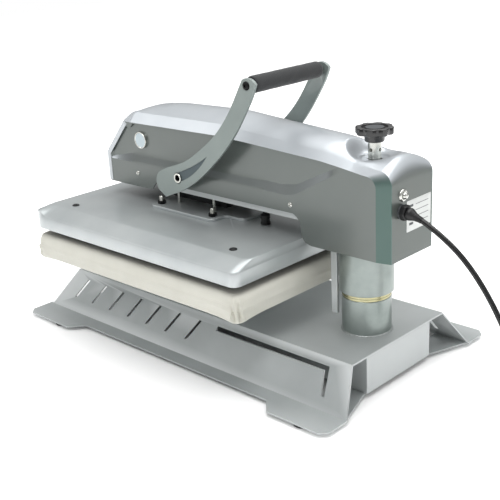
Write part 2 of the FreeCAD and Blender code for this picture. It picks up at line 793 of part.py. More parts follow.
def arm_solid(shrink):
    """The arm's outer form, or the same moved in by shrink."""
    rear = value("rear_y") - shrink
    sections = [arm_section(ARM_STATIONS[0], shrink, 140)]
    sections += [arm_section(station, shrink) for station in ARM_STATIONS[:-1]]
    sections.append(arm_section(ARM_STATIONS[-1], shrink, -5))
    crown = Part.makeLoft(sections, True, True)
    side = Part.Face(Part.makePolygon([Vector(-100, y, z) for y, z in side_outline(shrink)]))
    profile = side.extrude(Vector(200, 0, 0))
    half, rear_half = value("arm_half") - shrink, value("rear_half") - shrink * 0.7
    start = value("rear_chamfer_y") - shrink * 0.3
    plan = [(-half, -700), (half, -700), (half, start), (rear_half, rear), (-rear_half, rear), (-half, start)]
    plan_face = Part.Face(Part.makePolygon([Vector(x, y, 0) for x, y in plan + plan[:1]]))
    return crown.common(profile).common(plan_face.extrude(Vector(0, 0, 600)))


def side_outline(shrink):
    """Side view of the arm: nose, chin, the straight seam, the skirt round the column, the crown."""
    nose, chin = value("nose_y") + shrink, value("chin_z")
    ceiling = 500
    slope = value("(side_front_top_z + band_high - knee_z) / (brow_y - brow_out - nose_y)")
    lean = shrink * math.hypot(slope, 1)
    knee = value("knee_z") + slope * shrink - lean
    far_y = nose + (ceiling - knee) / slope
    drop = -5 if shrink else 0
    rear, turn = value("rear_y") - shrink, value("rear_round") + 8
    top = value("rear_round_top_z") + 21 - shrink
    corner = [(rear - turn + turn * math.sin(math.radians(a)), top - turn + turn * math.cos(math.radians(a)))
              for a in range(0, 91, 15)]
    points = [(nose, chin + drop), (nose, knee), (far_y, ceiling), (rear - turn, ceiling), *corner,
              (rear, value("skirt_z") + drop), (value("skirt_y") - shrink, value("skirt_z") + drop),
              (value("seam_rear_y") - shrink, value("seam_z") + drop),
              (value("chin_rear_y") - shrink + 14, value("seam_z") + drop),
              (value("chin_rear_y") - shrink, chin + drop)]
    return points + points[:1]


def build_arm_cover():
    outer = arm_solid(0)
    shell = outer.cut(arm_solid(value("arm_wall")))
    reach = value("arm_half") + 5
    dish, wall, floor = value("dish_radius"), value("dish_wall"), value("dish_floor_z")
    above = Vector(0, value("knob_y"), floor)
    wide, deep = dish + value("dish_flare"), value("dish_deep")
    bowl = Part.makeCone(dish, wide, deep, above)
    cup = Part.makeCone(dish + wall, wide + wall, deep, above - Vector(0, 0, wall)).cut(bowl)
    shell = shell.cut(bowl).fuse(cup.common(outer))
    holes = [Part.makeCylinder(value("spacer_radius + 0.5"), 2 * reach,
                               Vector(-reach, value("pivot_y"), value("pivot_z")), Vector(1, 0, 0)),
             Part.makeCylinder(value("screw_radius + 0.5"), 100, Vector(0, value("knob_y"), 330)),
             Part.makeCylinder(value("gland_flats") / 2 - 3, 20,
                               Vector(value("gland_x"), value("rear_y") - 10, value("gland_z")), Vector(0, 1, 0)),
             Part.makeCylinder(value("breaker_radius") - 2, 20,
                               Vector(value("breaker_x"), value("rear_y") - 10, value("breaker_z")),
                               Vector(0, 1, 0))]
    for y, z in screw_places():
        holes.append(Part.makeCylinder(value("cover_screw_radius") / 2, 2 * reach, Vector(-reach, y, z),
                                       Vector(1, 0, 0)))
    window = slope_block(value("panel_half_x"), value("panel_margin"), slope_length() - value("panel_margin"),
                         -value("arm_wall") - 3, 3)
    rocker = Part.makeBox(2 * value("rocker_half_x"), 20, 2 * value("rocker_half_z"),
                          Vector(-value("rocker_half_x"), value("nose_y") - 10,
                                 value("rocker_z") - value("rocker_half_z")))
    for tool in holes + [window, rocker]:
        shell = shell.cut(tool)
    shaped("arm_cover", shell)


def screw_places():
    """Where the cover's side screws sit, as (y, z)."""
    return [(value("cover_screw_front_y"), value("cover_screw_front_z")),
            (value("cover_screw_rear_y"), value("cover_screw_rear_z"))]


# the sloping front: distance up the slope, and height above it

def slope_frame():
    """Foot, up-slope direction and outward normal of the sloping front."""
    foot = Vector(0, value("nose_y"), value("knee_z"))
    head = Vector(0, value("brow_y - brow_out"), value("side_front_top_z + band_high"))
    along_slope = (head - foot).normalize()
    return foot, along_slope, along_slope.cross(Vector(1, 0, 0)).negative()


def slope_length():
    return math.hypot(value("side_front_top_z + band_high - knee_z"), value("brow_y - brow_out - nose_y"))


def slope_placement(x, up, out):
    """A placement whose Z looks out of the slope and whose Y runs up it."""
    foot, up_way, normal = slope_frame()
    turn = Rotation(Vector(1, 0, 0), up_way, normal, "ZYX")
    return Placement(foot + Vector(x, 0, 0) + up_way * up + normal * out, turn)


def slope_block(half_x, low, high, inner, outer):
    made = Part.makeBox(2 * half_x, high - low, outer - inner)
    made.Placement = slope_placement(-half_x, low, inner)
    return made


def build_controls():
    thick = value("bezel_thick")
    half, margin = value("arm_half") - 1, value("panel_margin")
    length = slope_length()
    panel_x = value("panel_half_x")
    frame = slope_block(half, 2, length - 2, 0.1, thick)
    frame = frame.cut(slope_block(panel_x, margin, length - margin, -1, thick + 1))
    shaped("front_bezel", frame)
    depth = value("panel_thick")
    panel = slope_block(panel_x, margin, length - margin, 0, depth)
    window = slope_block(value("display_half_x"), value("display_low"), value("display_high"), -1, depth + 1)
    pitch, radius = value("button_pitch"), value("button_radius")
    panel = panel.cut(window)
    places = [(-pitch, "button_down"), (0, "button_mode"), (pitch, "button_up_key")]
    for x, _ in places:
        hole = Part.makeCylinder(radius + 0.3, 20)
        hole.Placement = slope_placement(x, value("button_up"), -8)
        panel = panel.cut(hole)
    shaped("control_panel", panel)
    shaped("display_window", slope_block(value("display_half_x"), value("display_low"),
                                         value("display_high"), 0.2, depth))
    for x, label in places:
        key = Part.makeCylinder(radius, 5 + value("button_out"))
        key = key.makeFillet(0.8, [e for e in key.Edges if e.BoundBox.ZMin > 5])
        key.Placement = slope_placement(x, value("button_up"), depth - 5)
        shaped(label, key)
    board_gap = value("board_gap")
    board = slope_block(panel_x - 6, margin + 4, length - margin - 4, -board_gap - value("board_thick"), -board_gap)
    for x in (10 - panel_x, panel_x - 10):
        for up in (margin + 8, length - margin - 8):
            post = Part.makeCylinder(3, board_gap)
            post.Placement = slope_placement(x, up, -board_gap)
            board = board.fuse(post)
    shaped("controller_board", board.removeSplitter())

    nose = value("nose_y")
    half_x, half_z, mid = value("rocker_half_x"), value("rocker_half_z"), value("rocker_z")
    outer = Part.makeBox(2 * half_x + 4, 2, 2 * half_z + 4, Vector(-half_x - 2, nose - 2, mid - half_z - 2))
    sleeve = Part.makeBox(2 * half_x - 0.4, 18, 2 * half_z - 0.4,
                          Vector(-half_x + 0.2, nose, mid - half_z + 0.2))
    hollow = Part.makeBox(2 * half_x - 4, 14, 2 * half_z - 4, Vector(-half_x + 2, nose - 2.5, mid - half_z + 2))
    shaped("power_switch_body", outer.fuse(sleeve).cut(hollow).removeSplitter())
    outline = [(-7, 0), (-7, -2.2), (0, 0.6), (7, 0.6), (7, 6), (-7, 6)]
    # rocker seen from the side: (up, inward) from the switch's middle
    points = [Vector(-half_x + 2.6, nose - 1.5 + inward, mid + up * (half_z - 3) / 7) for up, inward in outline]
    face = Part.Face(Part.makePolygon(points + points[:1]))
    trunnion = Part.makeCylinder(1.5, 2 * half_x - 4.6, Vector(2.3 - half_x, nose + 1, mid), Vector(1, 0, 0))
    shaped("power_rocker", face.extrude(Vector(2 * half_x - 5.2, 0, 0)).fuse(trunnion))


def build_rear():
    reach = value("rear_y")
    # screws and badges on both flanks
    screws, badges = [], []
    for side in (-1, 1):
        for y, z in screw_places():
            out = Vector(side, 0, 0)
            start = Vector(side * (value("arm_half") + 0.02), y, z)
            head = Part.makeCylinder(value("cover_screw_radius"), 2, start, out)
            head = head.makeFillet(0.9, [e for e in head.Edges if abs(e.BoundBox.XMin) > value("arm_half") + 1.9
                                         and e.BoundBox.XLength < 0.1])
            shank = Part.makeCylinder(value("cover_screw_radius") / 2 - 0.1, value("arm_half - beam_half") + 0.02,
                                      start, -out)
            screws.append(head.fuse(shank))
        centre = Vector(side * (value("arm_half") + 0.02), value("badge_y"), value("badge_z"))
        badges.append(Part.makeCylinder(value("badge_radius"), 1, centre, Vector(side, 0, 0)))
    shaped("cover_screws", Part.makeCompound(screws))
    shaped("side_badges", Part.makeCompound(badges))

    keep(block("rear_label", ("label_left_x", "label_right_x"), ("rear_y", "rear_y + label_thick"),
               ("label_bottom_z", "label_top_z")), "rear_label")

    spot = ("breaker_x", "breaker_z")
    collar = rod("breaker_collar_blank", "y", spot, ("rear_y", "rear_y + breaker_collar_thick"), "breaker_radius")
    barrel = rod("breaker_barrel", "y", spot, ("rear_y - 20", "rear_y"), "breaker_radius - 2.2")
    bore = rod("breaker_bore", "y", spot, ("rear_y - 12", "rear_y + 10"), "breaker_button_radius + free_gap")
    keep(cut("breaker_body", join("breaker_whole", collar, barrel), bore), "breaker_body")
    radius, out = value("breaker_button_radius"), value("breaker_button_out")
    stem = Part.makeCylinder(radius, 8 + out, Vector(value("breaker_x"), reach - 8 + value("breaker_collar_thick"),
                                                     value("breaker_z")), Vector(0, 1, 0))
    tip = reach + value("breaker_collar_thick") + out
    stem = stem.makeFillet(radius * 0.6, [e for e in stem.Edges if e.BoundBox.YMin > tip - 0.1])
    shaped("breaker_button", stem)

    # cable gland: hexagon on the rear face, then a rubber boot that droops with the cord
    flats = value("gland_flats")
    centre = Vector(value("gland_x"), reach, value("gland_z"))
    ring = [centre + Vector(math.cos(a), 0, math.sin(a)) * flats / 1.732
            for a in (math.radians(60 * k + 30) for k in range(6))]
    gland = Part.Face(Part.makePolygon(ring + ring[:1])).extrude(Vector(0, value("gland_long"), 0))
    neck = Part.makeCylinder(flats / 2 - 3.5, 8, centre + Vector(0, -8, 0), Vector(0, 1, 0))
    shaped("cable_gland", gland.fuse(neck).removeSplitter())
    start = centre + Vector(0, value("gland_long"), 0)
    drop = math.radians(value("boot_drop_deg"))
    way = Vector(0, math.cos(drop), -math.sin(drop))
    boot = Part.makeCone(value("boot_root_radius"), value("boot_tip_radius"), value("boot_long") + 5,
                         start - way * 5, way)
    behind = Part.makeBox(60, 60, 60, Vector(centre.x - 30, start.y - 60, centre.z - 30))
    shaped("strain_relief", boot.cut(behind))


# ---------------------------------------------------------------- handle

HANDLE_FRONT = [(-385, 276), (-379, 262), (-362.4, 252.3)]
HANDLE_UNDER = [(-331, 265), (-274.6, 297.5), (-251, 316.5), (-209.8, 355.5), (-184, 386), (-158, 424.5),
                (-142.8, 451), (-137, 466)]
HANDLE_OVER = [(-165.5, 470.5), (-174.5, 455.3), (-197.2, 418.4), (-233.4, 376), (-269.8, 347.2),
               (-312.7, 320.9), (-349.5, 307.5), (-376.4, 295)]


def handle_outline():
    """Side view of a handle plate: rounded hub end, a sweeping arm, a round head at the grip."""
    grip = Vector(0, value("grip_y"), value("grip_z"))

    def points(pairs):
        return [Vector(0, y, z) for y, z in pairs]

    under = Part.BSplineCurve()
    under.interpolate(points(HANDLE_UNDER))
    over = Part.BSplineCurve()
    over.interpolate(points(HANDLE_OVER))
    tip = points(HANDLE_FRONT)
    first_under, last_under = points(HANDLE_UNDER)[0], points(HANDLE_UNDER)[-1]
    first_over, last_over = points(HANDLE_OVER)[0], points(HANDLE_OVER)[-1]
    away = (grip - (first_under + last_over) * 0.5).normalize()
    head = Part.Arc(last_under, grip + away * 15, first_over)
    hub = Part.Arc(last_over, tip[0], tip[1])
    edges = [under.toShape(), head.toShape(), over.toShape(), hub.toShape(),
             Part.LineSegment(tip[1], tip[2]).toShape(), Part.LineSegment(tip[2], first_under).toShape()]
    return Part.Wire(Part.__sortEdges__(edges))


def comet_slot(reach):
    """The tapering window in a handle plate: a round head at the pivot and a thin curved tail."""
    pivot = Vector(-reach, value("pivot_y"), value("pivot_z"))
    head_radius = 9.5
    head = Part.makeCylinder(head_radius, 2 * reach, pivot, Vector(1, 0, 0))
    tail_tip = Vector(-reach, -254.7, 337.6)
    upper = Part.Arc(pivot + Vector(0, -1, 9), pivot + Vector(0, 38, 25.5), tail_tip)
    lower = Part.Arc(tail_tip, pivot + Vector(0, 43, 15.5), pivot + Vector(0, 7, -5))
    close = Part.LineSegment(pivot + Vector(0, 7, -5), pivot + Vector(0, -1, 9))
    tail = Part.Face(Part.Wire([upper.toShape(), lower.toShape(), close.toShape()]))
    return head.fuse(tail.extrude(Vector(2 * reach, 0, 0)))


def build_handle():
    inner, thick = value("handle_inner_x"), value("handle_thick")
    reach = inner + thick + 10
    blank = Part.Face(handle_outline())
    slot = comet_slot(reach)
    grip_hole = Part.makeCylinder(4, 2 * reach, Vector(-reach, value("grip_y"), value("grip_z")), Vector(1, 0, 0))
    for side, label in ((1, "handle_plate_right"), (-1, "handle_plate_left")):
        start = inner if side > 0 else -inner - thick
        plate = blank.extrude(Vector(thick, 0, 0)).translated(Vector(start, 0, 0))
        shaped(label, plate.cut(slot).cut(grip_hole))

    pivot = ("pivot_y", "pivot_z")
    keep(rod("pivot_shaft", "x", pivot, both("handle_inner_x + handle_thick + 1"), "pivot_radius"),
         "pivot_shaft")
    spacers = []
    for low, high in (("arm_half - arm_wall", "handle_inner_x"), ("-handle_inner_x", "arm_wall - arm_half")):
        outer = rod("spacer_outer", "x", pivot, (low, high), "spacer_radius")
        inner_hole = rod("spacer_inner", "x", pivot, (f"{low} - 1", f"{high} + 1"), "pivot_radius")
        spacers.append(cut("spacer", outer, inner_hole))
    keep(together("pivot_spacers", *spacers), "pivot_spacers")

    grip = ("grip_y", "grip_z")
    tube = rod("grip_tube", "x", grip, both("handle_inner_x"), "grip_rod_radius")
    tube_bore = rod("grip_tube_bore", "x", grip, both("handle_inner_x + 1"), "3.5")
    keep(cut("grip_rod", tube, tube_bore), "grip_rod")
    foam = rod("foam", "x", grip, both("grip_half"), "grip_radius")
    foam_bore = rod("foam_bore", "x", grip, both("grip_half + 1"), "grip_rod_radius")
    keep(cut("grip_sleeve", foam, foam_bore), "grip_sleeve")
    screws = []
    for side in (-1, 1):
        out = Vector(side, 0, 0)
        face = Vector(side * (inner + thick), value("grip_y"), value("grip_z"))
        head = Part.makeCylinder(7, 3, face, out)
        head = head.makeFillet(1.5, [e for e in head.Edges if abs(e.BoundBox.XMin) > inner + thick + 2.5
                                     and e.BoundBox.XLength < 0.1])
        screws.append(head.fuse(Part.makeCylinder(3.4, 30, face, -out)))
    shaped("grip_screws", Part.makeCompound(screws))
    build_cam()


def build_cam():
    """A cam with the same lift for each degree, so the platen's travel follows the handle exactly.

    Over a flat follower the curve whose height grows evenly with the turn is an involute.
    """
    low, lift = value("cam_low_radius"), value("travel")
    turn = math.radians(value("handle_travel_deg"))
    rate = lift / turn
    points = []
    steps = 14
    for i in range(steps + 1):
        swing = turn * i / steps
        reach = low + rate * swing
        angle = -math.pi / 2 - swing
        points.append(Vector(0, reach * math.cos(angle) + rate * math.sin(angle),
                             reach * math.sin(angle) - rate * math.cos(angle)))
    curve = Part.BSplineCurve()
    curve.interpolate(points)
    centre = Vector(0, 0, 0)
    sector = Part.Wire([Part.LineSegment(centre, points[0]).toShape(), curve.toShape(),
                        Part.LineSegment(points[-1], centre).toShape()])
    half = value("cam_half")
    lobe = Part.Face(sector).extrude(Vector(2 * half, 0, 0))
    disc = Part.makeCylinder(low, 2 * half, Vector(), Vector(1, 0, 0))
    bore = Part.makeCylinder(value("pivot_radius"), 2 * half, Vector(), Vector(1, 0, 0))
    cam = lobe.fuse(disc).cut(bore).removeSplitter()
    cam.translate(Vector(-half, value("pivot_y"), value("pivot_z")))
    shaped("press_cam", cam)


# ---------------------------------------------------------------- pressure knob

def build_knob():
    base, top, radius = value("knob_base_z"), value("knob_top_z"), value("knob_radius")
    centre = Vector(0, value("knob_y"), base)
    wheel = Part.makeCylinder(radius, top - base, centre)
    wheel = wheel.makeFillet(3, [e for e in wheel.Edges if e.Curve.TypeId == "Part::GeomCircle"])
    lobes = int(value("knob_lobes"))
    for k in range(lobes):
        turn = 2 * math.pi * (k + 0.5) / lobes
        at = centre + Vector(math.cos(turn), math.sin(turn), 0) * (radius + 5)
        wheel = wheel.cut(Part.makeCylinder(8.5, top - base + 2, at - Vector(0, 0, 1)))
    hub = Part.makeCone(value("hub_radius") - 1.5, value("hub_radius"), base - value("hub_base_z"),
                        Vector(0, value("knob_y"), value("hub_base_z")))
    dish = Part.makeCylinder(13, 2, Vector(0, value("knob_y"), top - 2))
    shaped("pressure_knob", wheel.fuse(hub).cut(dish).removeSplitter())
    at = ("0", "knob_y")
    keep(rod("knob_collar", "z", at, ("collar_base_z", "hub_base_z"), "knob_collar_radius"), "knob_collar")
    keep(rod("pressure_screw", "z", at, ("screw_low_z", "collar_base_z"), "screw_radius - fit_gap"),
         "pressure_screw")


# ---------------------------------------------------------------- mains lead

# where the lead's runs meet, from the boot's tip down to the floor and into the coil
CORD_ROUTE = [(26.5, 146, 270.5), (23, 190, 237), (19, 229, 186), (16, 262, 124), (15, 292, 60),
              (16, 327, 8), (18, 372, 4.4)]


def cord_path(points, share=0.45):
    """Straight runs joined by tangent arcs, each arc as large as its two runs allow."""
    edges = []
    at = points[0]
    for before, corner, after in zip(points, points[1:], points[2:]):
        back, ahead = before - corner, after - corner
        reach = share * min(back.Length, ahead.Length)
        turn = math.pi - back.getAngle(ahead)
        radius = reach / math.tan(turn / 2)
        way_in, way_out = back.normalize(), ahead.normalize()
        start, end = corner + way_in * reach, corner + way_out * reach
        middle = (way_in + way_out).normalize()
        top = corner + middle * (math.hypot(radius, reach) - radius)
        edges.append(Part.LineSegment(at, start).toShape())
        edges.append(Part.Arc(start, top, end).toShape())
        print(f"cord radius {radius:.0f} mm, turn {math.degrees(turn):.0f} degrees")
        at = end
    edges.append(Part.LineSegment(at, points[-1]).toShape())
    return Part.Wire(edges)


def build_lead():
    radius = value("cord_diameter") / 2
    drop = math.radians(value("boot_drop_deg"))
    way = Vector(0, math.cos(drop), -math.sin(drop))
    start = Vector(value("gland_x"), value("rear_y") + value("gland_long"), value("gland_z")) \
        + way * value("boot_long")
    route = [start] + [Vector(*p) for p in CORD_ROUTE]
    path = cord_path(route)
    section = Part.Wire(Part.makeCircle(radius, start, route[1] - route[0]))
    tube = path.makePipeShell([section], True, False)
    if not tube.isValid() or tube.Volume < 0:
        tube = tube.reversed()
    print(f"cord tube {path.Length:.0f} mm long, volume ratio "
          f"{abs(tube.Volume) / (path.Length * math.pi * radius ** 2):.4f}")
    shaped("power_cord", tube)

    mean = value("coil_mean_radius")
    wide, high = 2 * radius, 4 * radius
    centre = Vector(value("coil_x"), value("coil_y"), 0)
    ring = Part.makeCylinder(mean + wide, high, centre).cut(Part.makeCylinder(mean - wide, high, centre))
    ring = ring.makeFillet(radius * 0.9, [e for e in ring.Edges if e.Curve.TypeId == "Part::GeomCircle"])
    shaped("cord_coil", ring)
    print(f"four turns hold {4 * 2 * math.pi * mean:.0f} mm of lead")

    half, tall, long = value("plug_half_wide"), value("plug_high"), value("plug_long")
    boot_long = value("plug_boot_long")
    edge = centre + Vector(-math.sqrt((mean + wide) ** 2 - mean ** 2), mean, 0)
    boot_start = edge + Vector(0, 0, tall / 2)
    boot = Part.makeCone(5.2, 8.5, boot_long, boot_start, Vector(-1, 0, 0))
    body = Part.makeBox(long, 2 * half, tall, edge + Vector(-boot_long - long, -half, 0))
    body = body.makeFillet(4, [e for e in body.Edges if along("x")(e)])
    face = edge + Vector(-boot_long - long, 0, 0)
    pins = [Part.makeCylinder(value("plug_pin_radius"), value("plug_pin_long"),
                              face + Vector(0, side * 8, tall / 2), Vector(-1, 0, 0)) for side in (-1, 1)]
    shaped("power_plug", Part.makeCompound([body.fuse(boot).removeSplitter()] + pins))


# ---------------------------------------------------------------- build, check and write

for build in (build_base, build_column, build_lower_platen, build_upper_platen, build_press_shaft, build_beam,
              build_arm_cover, build_controls, build_rear, build_handle, build_knob, build_lead):
    build()
doc.recompute()

faulty = [o.Name for o in doc.Objects if {"Invalid", "Error"} & set(o.State)]
faulty += [name for name, piece in nodes.items() if piece.Shape.isNull() or not piece.Shape.isValid()
           or not piece.Shape.Solids]
if faulty:
    raise ValueError(f"failed pieces: {faulty}")
os.makedirs("parts", exist_ok=True)
for name, piece in nodes.items():
    piece.Shape.exportStep(f"parts/{name}.step")
    box = piece.Shape.BoundBox
    print(f"{name}: {len(piece.Shape.Solids)} solid, x {box.XMin:.1f} {box.XMax:.1f}, "
          f"y {box.YMin:.1f} {box.YMax:.1f}, z {box.ZMin:.1f} {box.ZMax:.1f}")
print(f"{len(nodes)} nodes")
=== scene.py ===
"""Swing-away heat press for 40 x 50 cm prints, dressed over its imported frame.

Shape formulas work in millimetres with y counted from the swing column's axis; `Surface.mesh` turns
them into the frame's metres.
"""
from __future__ import annotations

import json
import logging
import math
from dataclasses import dataclass, field
from enum import Enum
from typing import Callable, Sequence

import bmesh
import bpy
import numpy as np
from mathutils import Matrix, Vector

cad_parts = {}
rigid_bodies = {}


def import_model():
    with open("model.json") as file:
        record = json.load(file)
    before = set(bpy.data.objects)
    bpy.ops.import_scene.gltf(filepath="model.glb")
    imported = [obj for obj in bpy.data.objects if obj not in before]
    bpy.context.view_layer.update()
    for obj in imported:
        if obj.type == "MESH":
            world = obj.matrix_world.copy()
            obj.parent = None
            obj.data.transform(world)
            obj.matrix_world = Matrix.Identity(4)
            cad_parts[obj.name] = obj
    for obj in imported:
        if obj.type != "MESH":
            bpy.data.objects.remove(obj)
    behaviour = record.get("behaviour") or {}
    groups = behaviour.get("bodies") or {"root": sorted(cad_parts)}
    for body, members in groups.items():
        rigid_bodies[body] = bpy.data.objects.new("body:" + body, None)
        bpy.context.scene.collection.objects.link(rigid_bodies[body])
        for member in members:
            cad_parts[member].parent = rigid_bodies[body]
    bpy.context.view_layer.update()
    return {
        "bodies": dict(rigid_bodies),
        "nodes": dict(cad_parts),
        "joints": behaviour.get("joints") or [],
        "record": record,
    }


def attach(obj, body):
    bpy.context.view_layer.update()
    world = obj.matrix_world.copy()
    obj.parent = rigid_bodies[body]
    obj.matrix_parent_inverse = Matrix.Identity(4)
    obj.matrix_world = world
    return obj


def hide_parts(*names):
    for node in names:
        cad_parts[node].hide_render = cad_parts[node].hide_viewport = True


LOG = logging.getLogger("heat_press")
MM = 0.001
COLUMN_Y = 274.2

Array = np.ndarray
Socket = bpy.types.NodeSocket
Material = bpy.types.Material
Piece = bpy.types.Object


class Body(str, Enum):
    """The moving bodies of the frame that pieces ride on."""

    BASE = "base"
    ARM = "arm"
    PLATEN = "platen"
    HANDLE = "handle"
    KNOB = "knob"
    BREAKER = "breaker"
    ROCKER = "rocker"
    KEY_DOWN = "key_down"
    KEY_MODE = "key_mode"
    KEY_UP = "key_up"


class Axis(Enum):
    """The direction a turned piece is spun about: its axis, then two directions across it."""

    X = ((1, 0, 0), (0, 1, 0), (0, 0, 1))
    Y = ((0, 1, 0), (0, 0, 1), (1, 0, 0))
    Z = ((0, 0, 1), (1, 0, 0), (0, 1, 0))


# ---------------------------------------------------------------- node materials


def linear(hex_colour: str) -> tuple[float, float, float, float]:
    """Turn an sRGB hex colour into linear red, green, blue and alpha.

    Args:
        hex_colour: Six hexadecimal digits, with or without a leading #.

    Returns:
        The four linear values.
    """
    digits = hex_colour.lstrip("#")
    srgb = np.array([int(digits[i:i + 2], 16) for i in (0, 2, 4)]) / 255
    values = np.where(srgb <= 0.04045, srgb / 12.92, ((srgb + 0.055) / 1.055) ** 2.4)
    return (float(values[0]), float(values[1]), float(values[2]), 1.0)


def node(tree: bpy.types.NodeTree, kind: str, inputs: dict | None = None, **settings: object) -> bpy.types.Node:
    """Add a node, set its properties, and set or link its inputs.

    Args:
        tree: The node tree that gets the node.
        kind: The node's type name without the ShaderNode prefix.
        inputs: Input name or number to a value or to another node's output.
        settings: Properties of the node.

    Returns:
        The new node.
    """
    made = tree.nodes.new("ShaderNode" + kind)
    for name, value in settings.items():
        setattr(made, name, value)
    for name, value in (inputs or {}).items():
        if isinstance(value, Socket):
            tree.links.new(value, made.inputs[name])
        else:
            made.inputs[name].default_value = value
    return made


def per_metre(size_mm: float) -> float:
    """The noise scale whose features are size_mm apart on coordinates in metres."""
    return 1000 / size_mm


@dataclass(frozen=True)
class Finish:
    """A surface finish: base colours, gloss, and up to three patterns at real sizes."""

    name: str
    light: str
    dark: str
    metallic: float = 0.0
    roughness: float = 0.5
    rough_spread: float = 0.06
    cloud_mm: float = 90.0
    grain_mm: float = 1.2
    grain_colour: float = 0.25
    grain_bump: float = 0.05
    bump_mm: float = 0.05
    coat: float = 0.0
    sheen: float = 0.0
    stretch: tuple[float, float, float] = (1.0, 1.0, 1.0)
    edge: str | None = None
    glow: float = 0.0

    def colour(self, tree: bpy.types.NodeTree, place: Socket) -> Socket:
        """Mix the two tones by slow clouds and by the finish's own grain.

        Args:
            tree: The material's node tree.
            place: Object coordinates.

        Returns:
            The colour output.
        """
        clouds = node(tree, "TexNoise", {"Vector": place, "Scale": per_metre(self.cloud_mm), "Detail": 3.0})
        grain = node(tree, "TexNoise", {"Vector": place, "Scale": per_metre(self.grain_mm), "Detail": 2.0})
        soft = node(tree, "MapRange", {"Value": clouds.outputs["Fac"], "From Min": 0.3, "From Max": 0.7})
        mixed = node(tree, "Mix", {"Factor": self.grain_colour, 2: soft.outputs[0], 3: grain.outputs["Fac"]},
                     data_type="FLOAT")
        ramp = node(tree, "Mix", {"Factor": mixed.outputs[0], 6: linear(self.light), 7: linear(self.dark)},
                    data_type="RGBA")
        if self.edge is None:
            return ramp.outputs[2]
        # painted highlight: the colour turns brighter where the surface turns sharply
        shape = node(tree, "NewGeometry")
        turn = node(tree, "MapRange", {"Value": shape.outputs["Pointiness"], "From Min": 0.53, "From Max": 0.6})
        wear_and_highlight = node(tree, "Mix", {"Factor": turn.outputs[0], 6: ramp.outputs[2], 7: linear(self.edge)},
                    data_type="RGBA")
        return wear_and_highlight.outputs[2]

    def height(self, tree: bpy.types.NodeTree, place: Socket) -> Socket:
        """The relief that the bump follows: the grain, stretched along the finish's lay.

        Args:
            tree: The material's node tree.
            place: Object coordinates.

        Returns:
            The height output.
        """
        laid = node(tree, "Mapping", {"Vector": place, "Scale": self.stretch})
        grain = node(tree, "TexNoise", {"Vector": laid.outputs[0], "Scale": per_metre(self.grain_mm),
                                        "Detail": 4.0, "Roughness": 0.6})
        return grain.outputs["Fac"]

    def material(self) -> Material:
        """Build the material once and hand the same one out afterwards.

        Returns:
            The finish as a Blender material.
        """
        known = bpy.data.materials.get(self.name)
        if known is not None:
            return known
        made = bpy.data.materials.new(self.name)
        made.use_nodes = True
        tree = made.node_tree
        shader = tree.nodes["Principled BSDF"]
        place = node(tree, "TexCoord").outputs["Object"]
        tree.links.new(self.colour(tree, place), shader.inputs["Base Color"])
        relief = self.height(tree, place)
        rough = node(tree, "MapRange", {"Value": relief, "To Min": self.roughness - self.rough_spread,
                                        "To Max": self.roughness + self.rough_spread})
        tree.links.new(rough.outputs[0], shader.inputs["Roughness"])
        bump = node(tree, "Bump", {"Height": relief, "Strength": self.grain_bump,
                                   "Distance": self.bump_mm * MM})
        tree.links.new(bump.outputs[0], shader.inputs["Normal"])
        shader.inputs["Metallic"].default_value = self.metallic
        shader.inputs["Coat Weight"].default_value = self.coat
        shader.inputs["Coat Roughness"].default_value = 0.15
        shader.inputs["Sheen Weight"].default_value = self.sheen
        shader.inputs["Emission Color"].default_value = linear(self.light)
        shader.inputs["Emission Strength"].default_value = self.glow
        made.diffuse_color = linear(self.light)
        return made


@dataclass(frozen=True)
class TurnedMetal(Finish):
    """Lathe-cut metal: fine rings along the axis that the tool followed."""

    ring_mm: float = 0.9

    def height(self, tree: bpy.types.NodeTree, place: Socket) -> Socket:
        """Rings at the feed of the tool, broken up by a little noise.

        Args:
            tree: The material's node tree.
            place: Object coordinates.

        Returns:
            The height output.
        """
        rings = node(tree, "TexWave", {"Vector": place, "Scale": per_metre(self.ring_mm) / 6.28, "Distortion": 0.6,
                                       "Detail": 2.0}, bands_direction="Z")
        return rings.outputs["Fac"]


@dataclass(frozen=True)
class LacquerWithPaintedShade(Finish):
    """Silver lacquer with painted shade: silver where the sheet faces up, a darker painted shade on upright faces."""

    shade_tone_light: str = "#6E7370"
    shade_tone_dark: str = "#636A67"

    def colour(self, tree: bpy.types.NodeTree, place: Socket) -> Socket:
        """Mix the silver and the darker painted shade by how far the surface faces up.

        Args:
            tree: The material's node tree.
            place: Object coordinates.

        Returns:
            The colour output.
        """
        silver = super().colour(tree, place)
        clouds = node(tree, "TexNoise", {"Vector": place, "Scale": per_metre(self.cloud_mm), "Detail": 3.0})
        painted_shade = node(tree, "Mix", {"Factor": clouds.outputs["Fac"], 6: linear(self.shade_tone_light),
                                      7: linear(self.shade_tone_dark)}, data_type="RGBA")
        # painted shade: the further a face turns from facing up, the more it takes the darker tone
        upward = node(tree, "SeparateXYZ", {0: node(tree, "NewGeometry").outputs["Normal"]}).outputs[2]
        share = node(tree, "MapRange", {"Value": upward, "From Min": 0.08, "From Max": 0.6},
                     interpolation_type="SMOOTHSTEP")
        both = node(tree, "Mix", {"Factor": share.outputs[0], 6: painted_shade.outputs[2], 7: silver}, data_type="RGBA")
        return both.outputs[2]


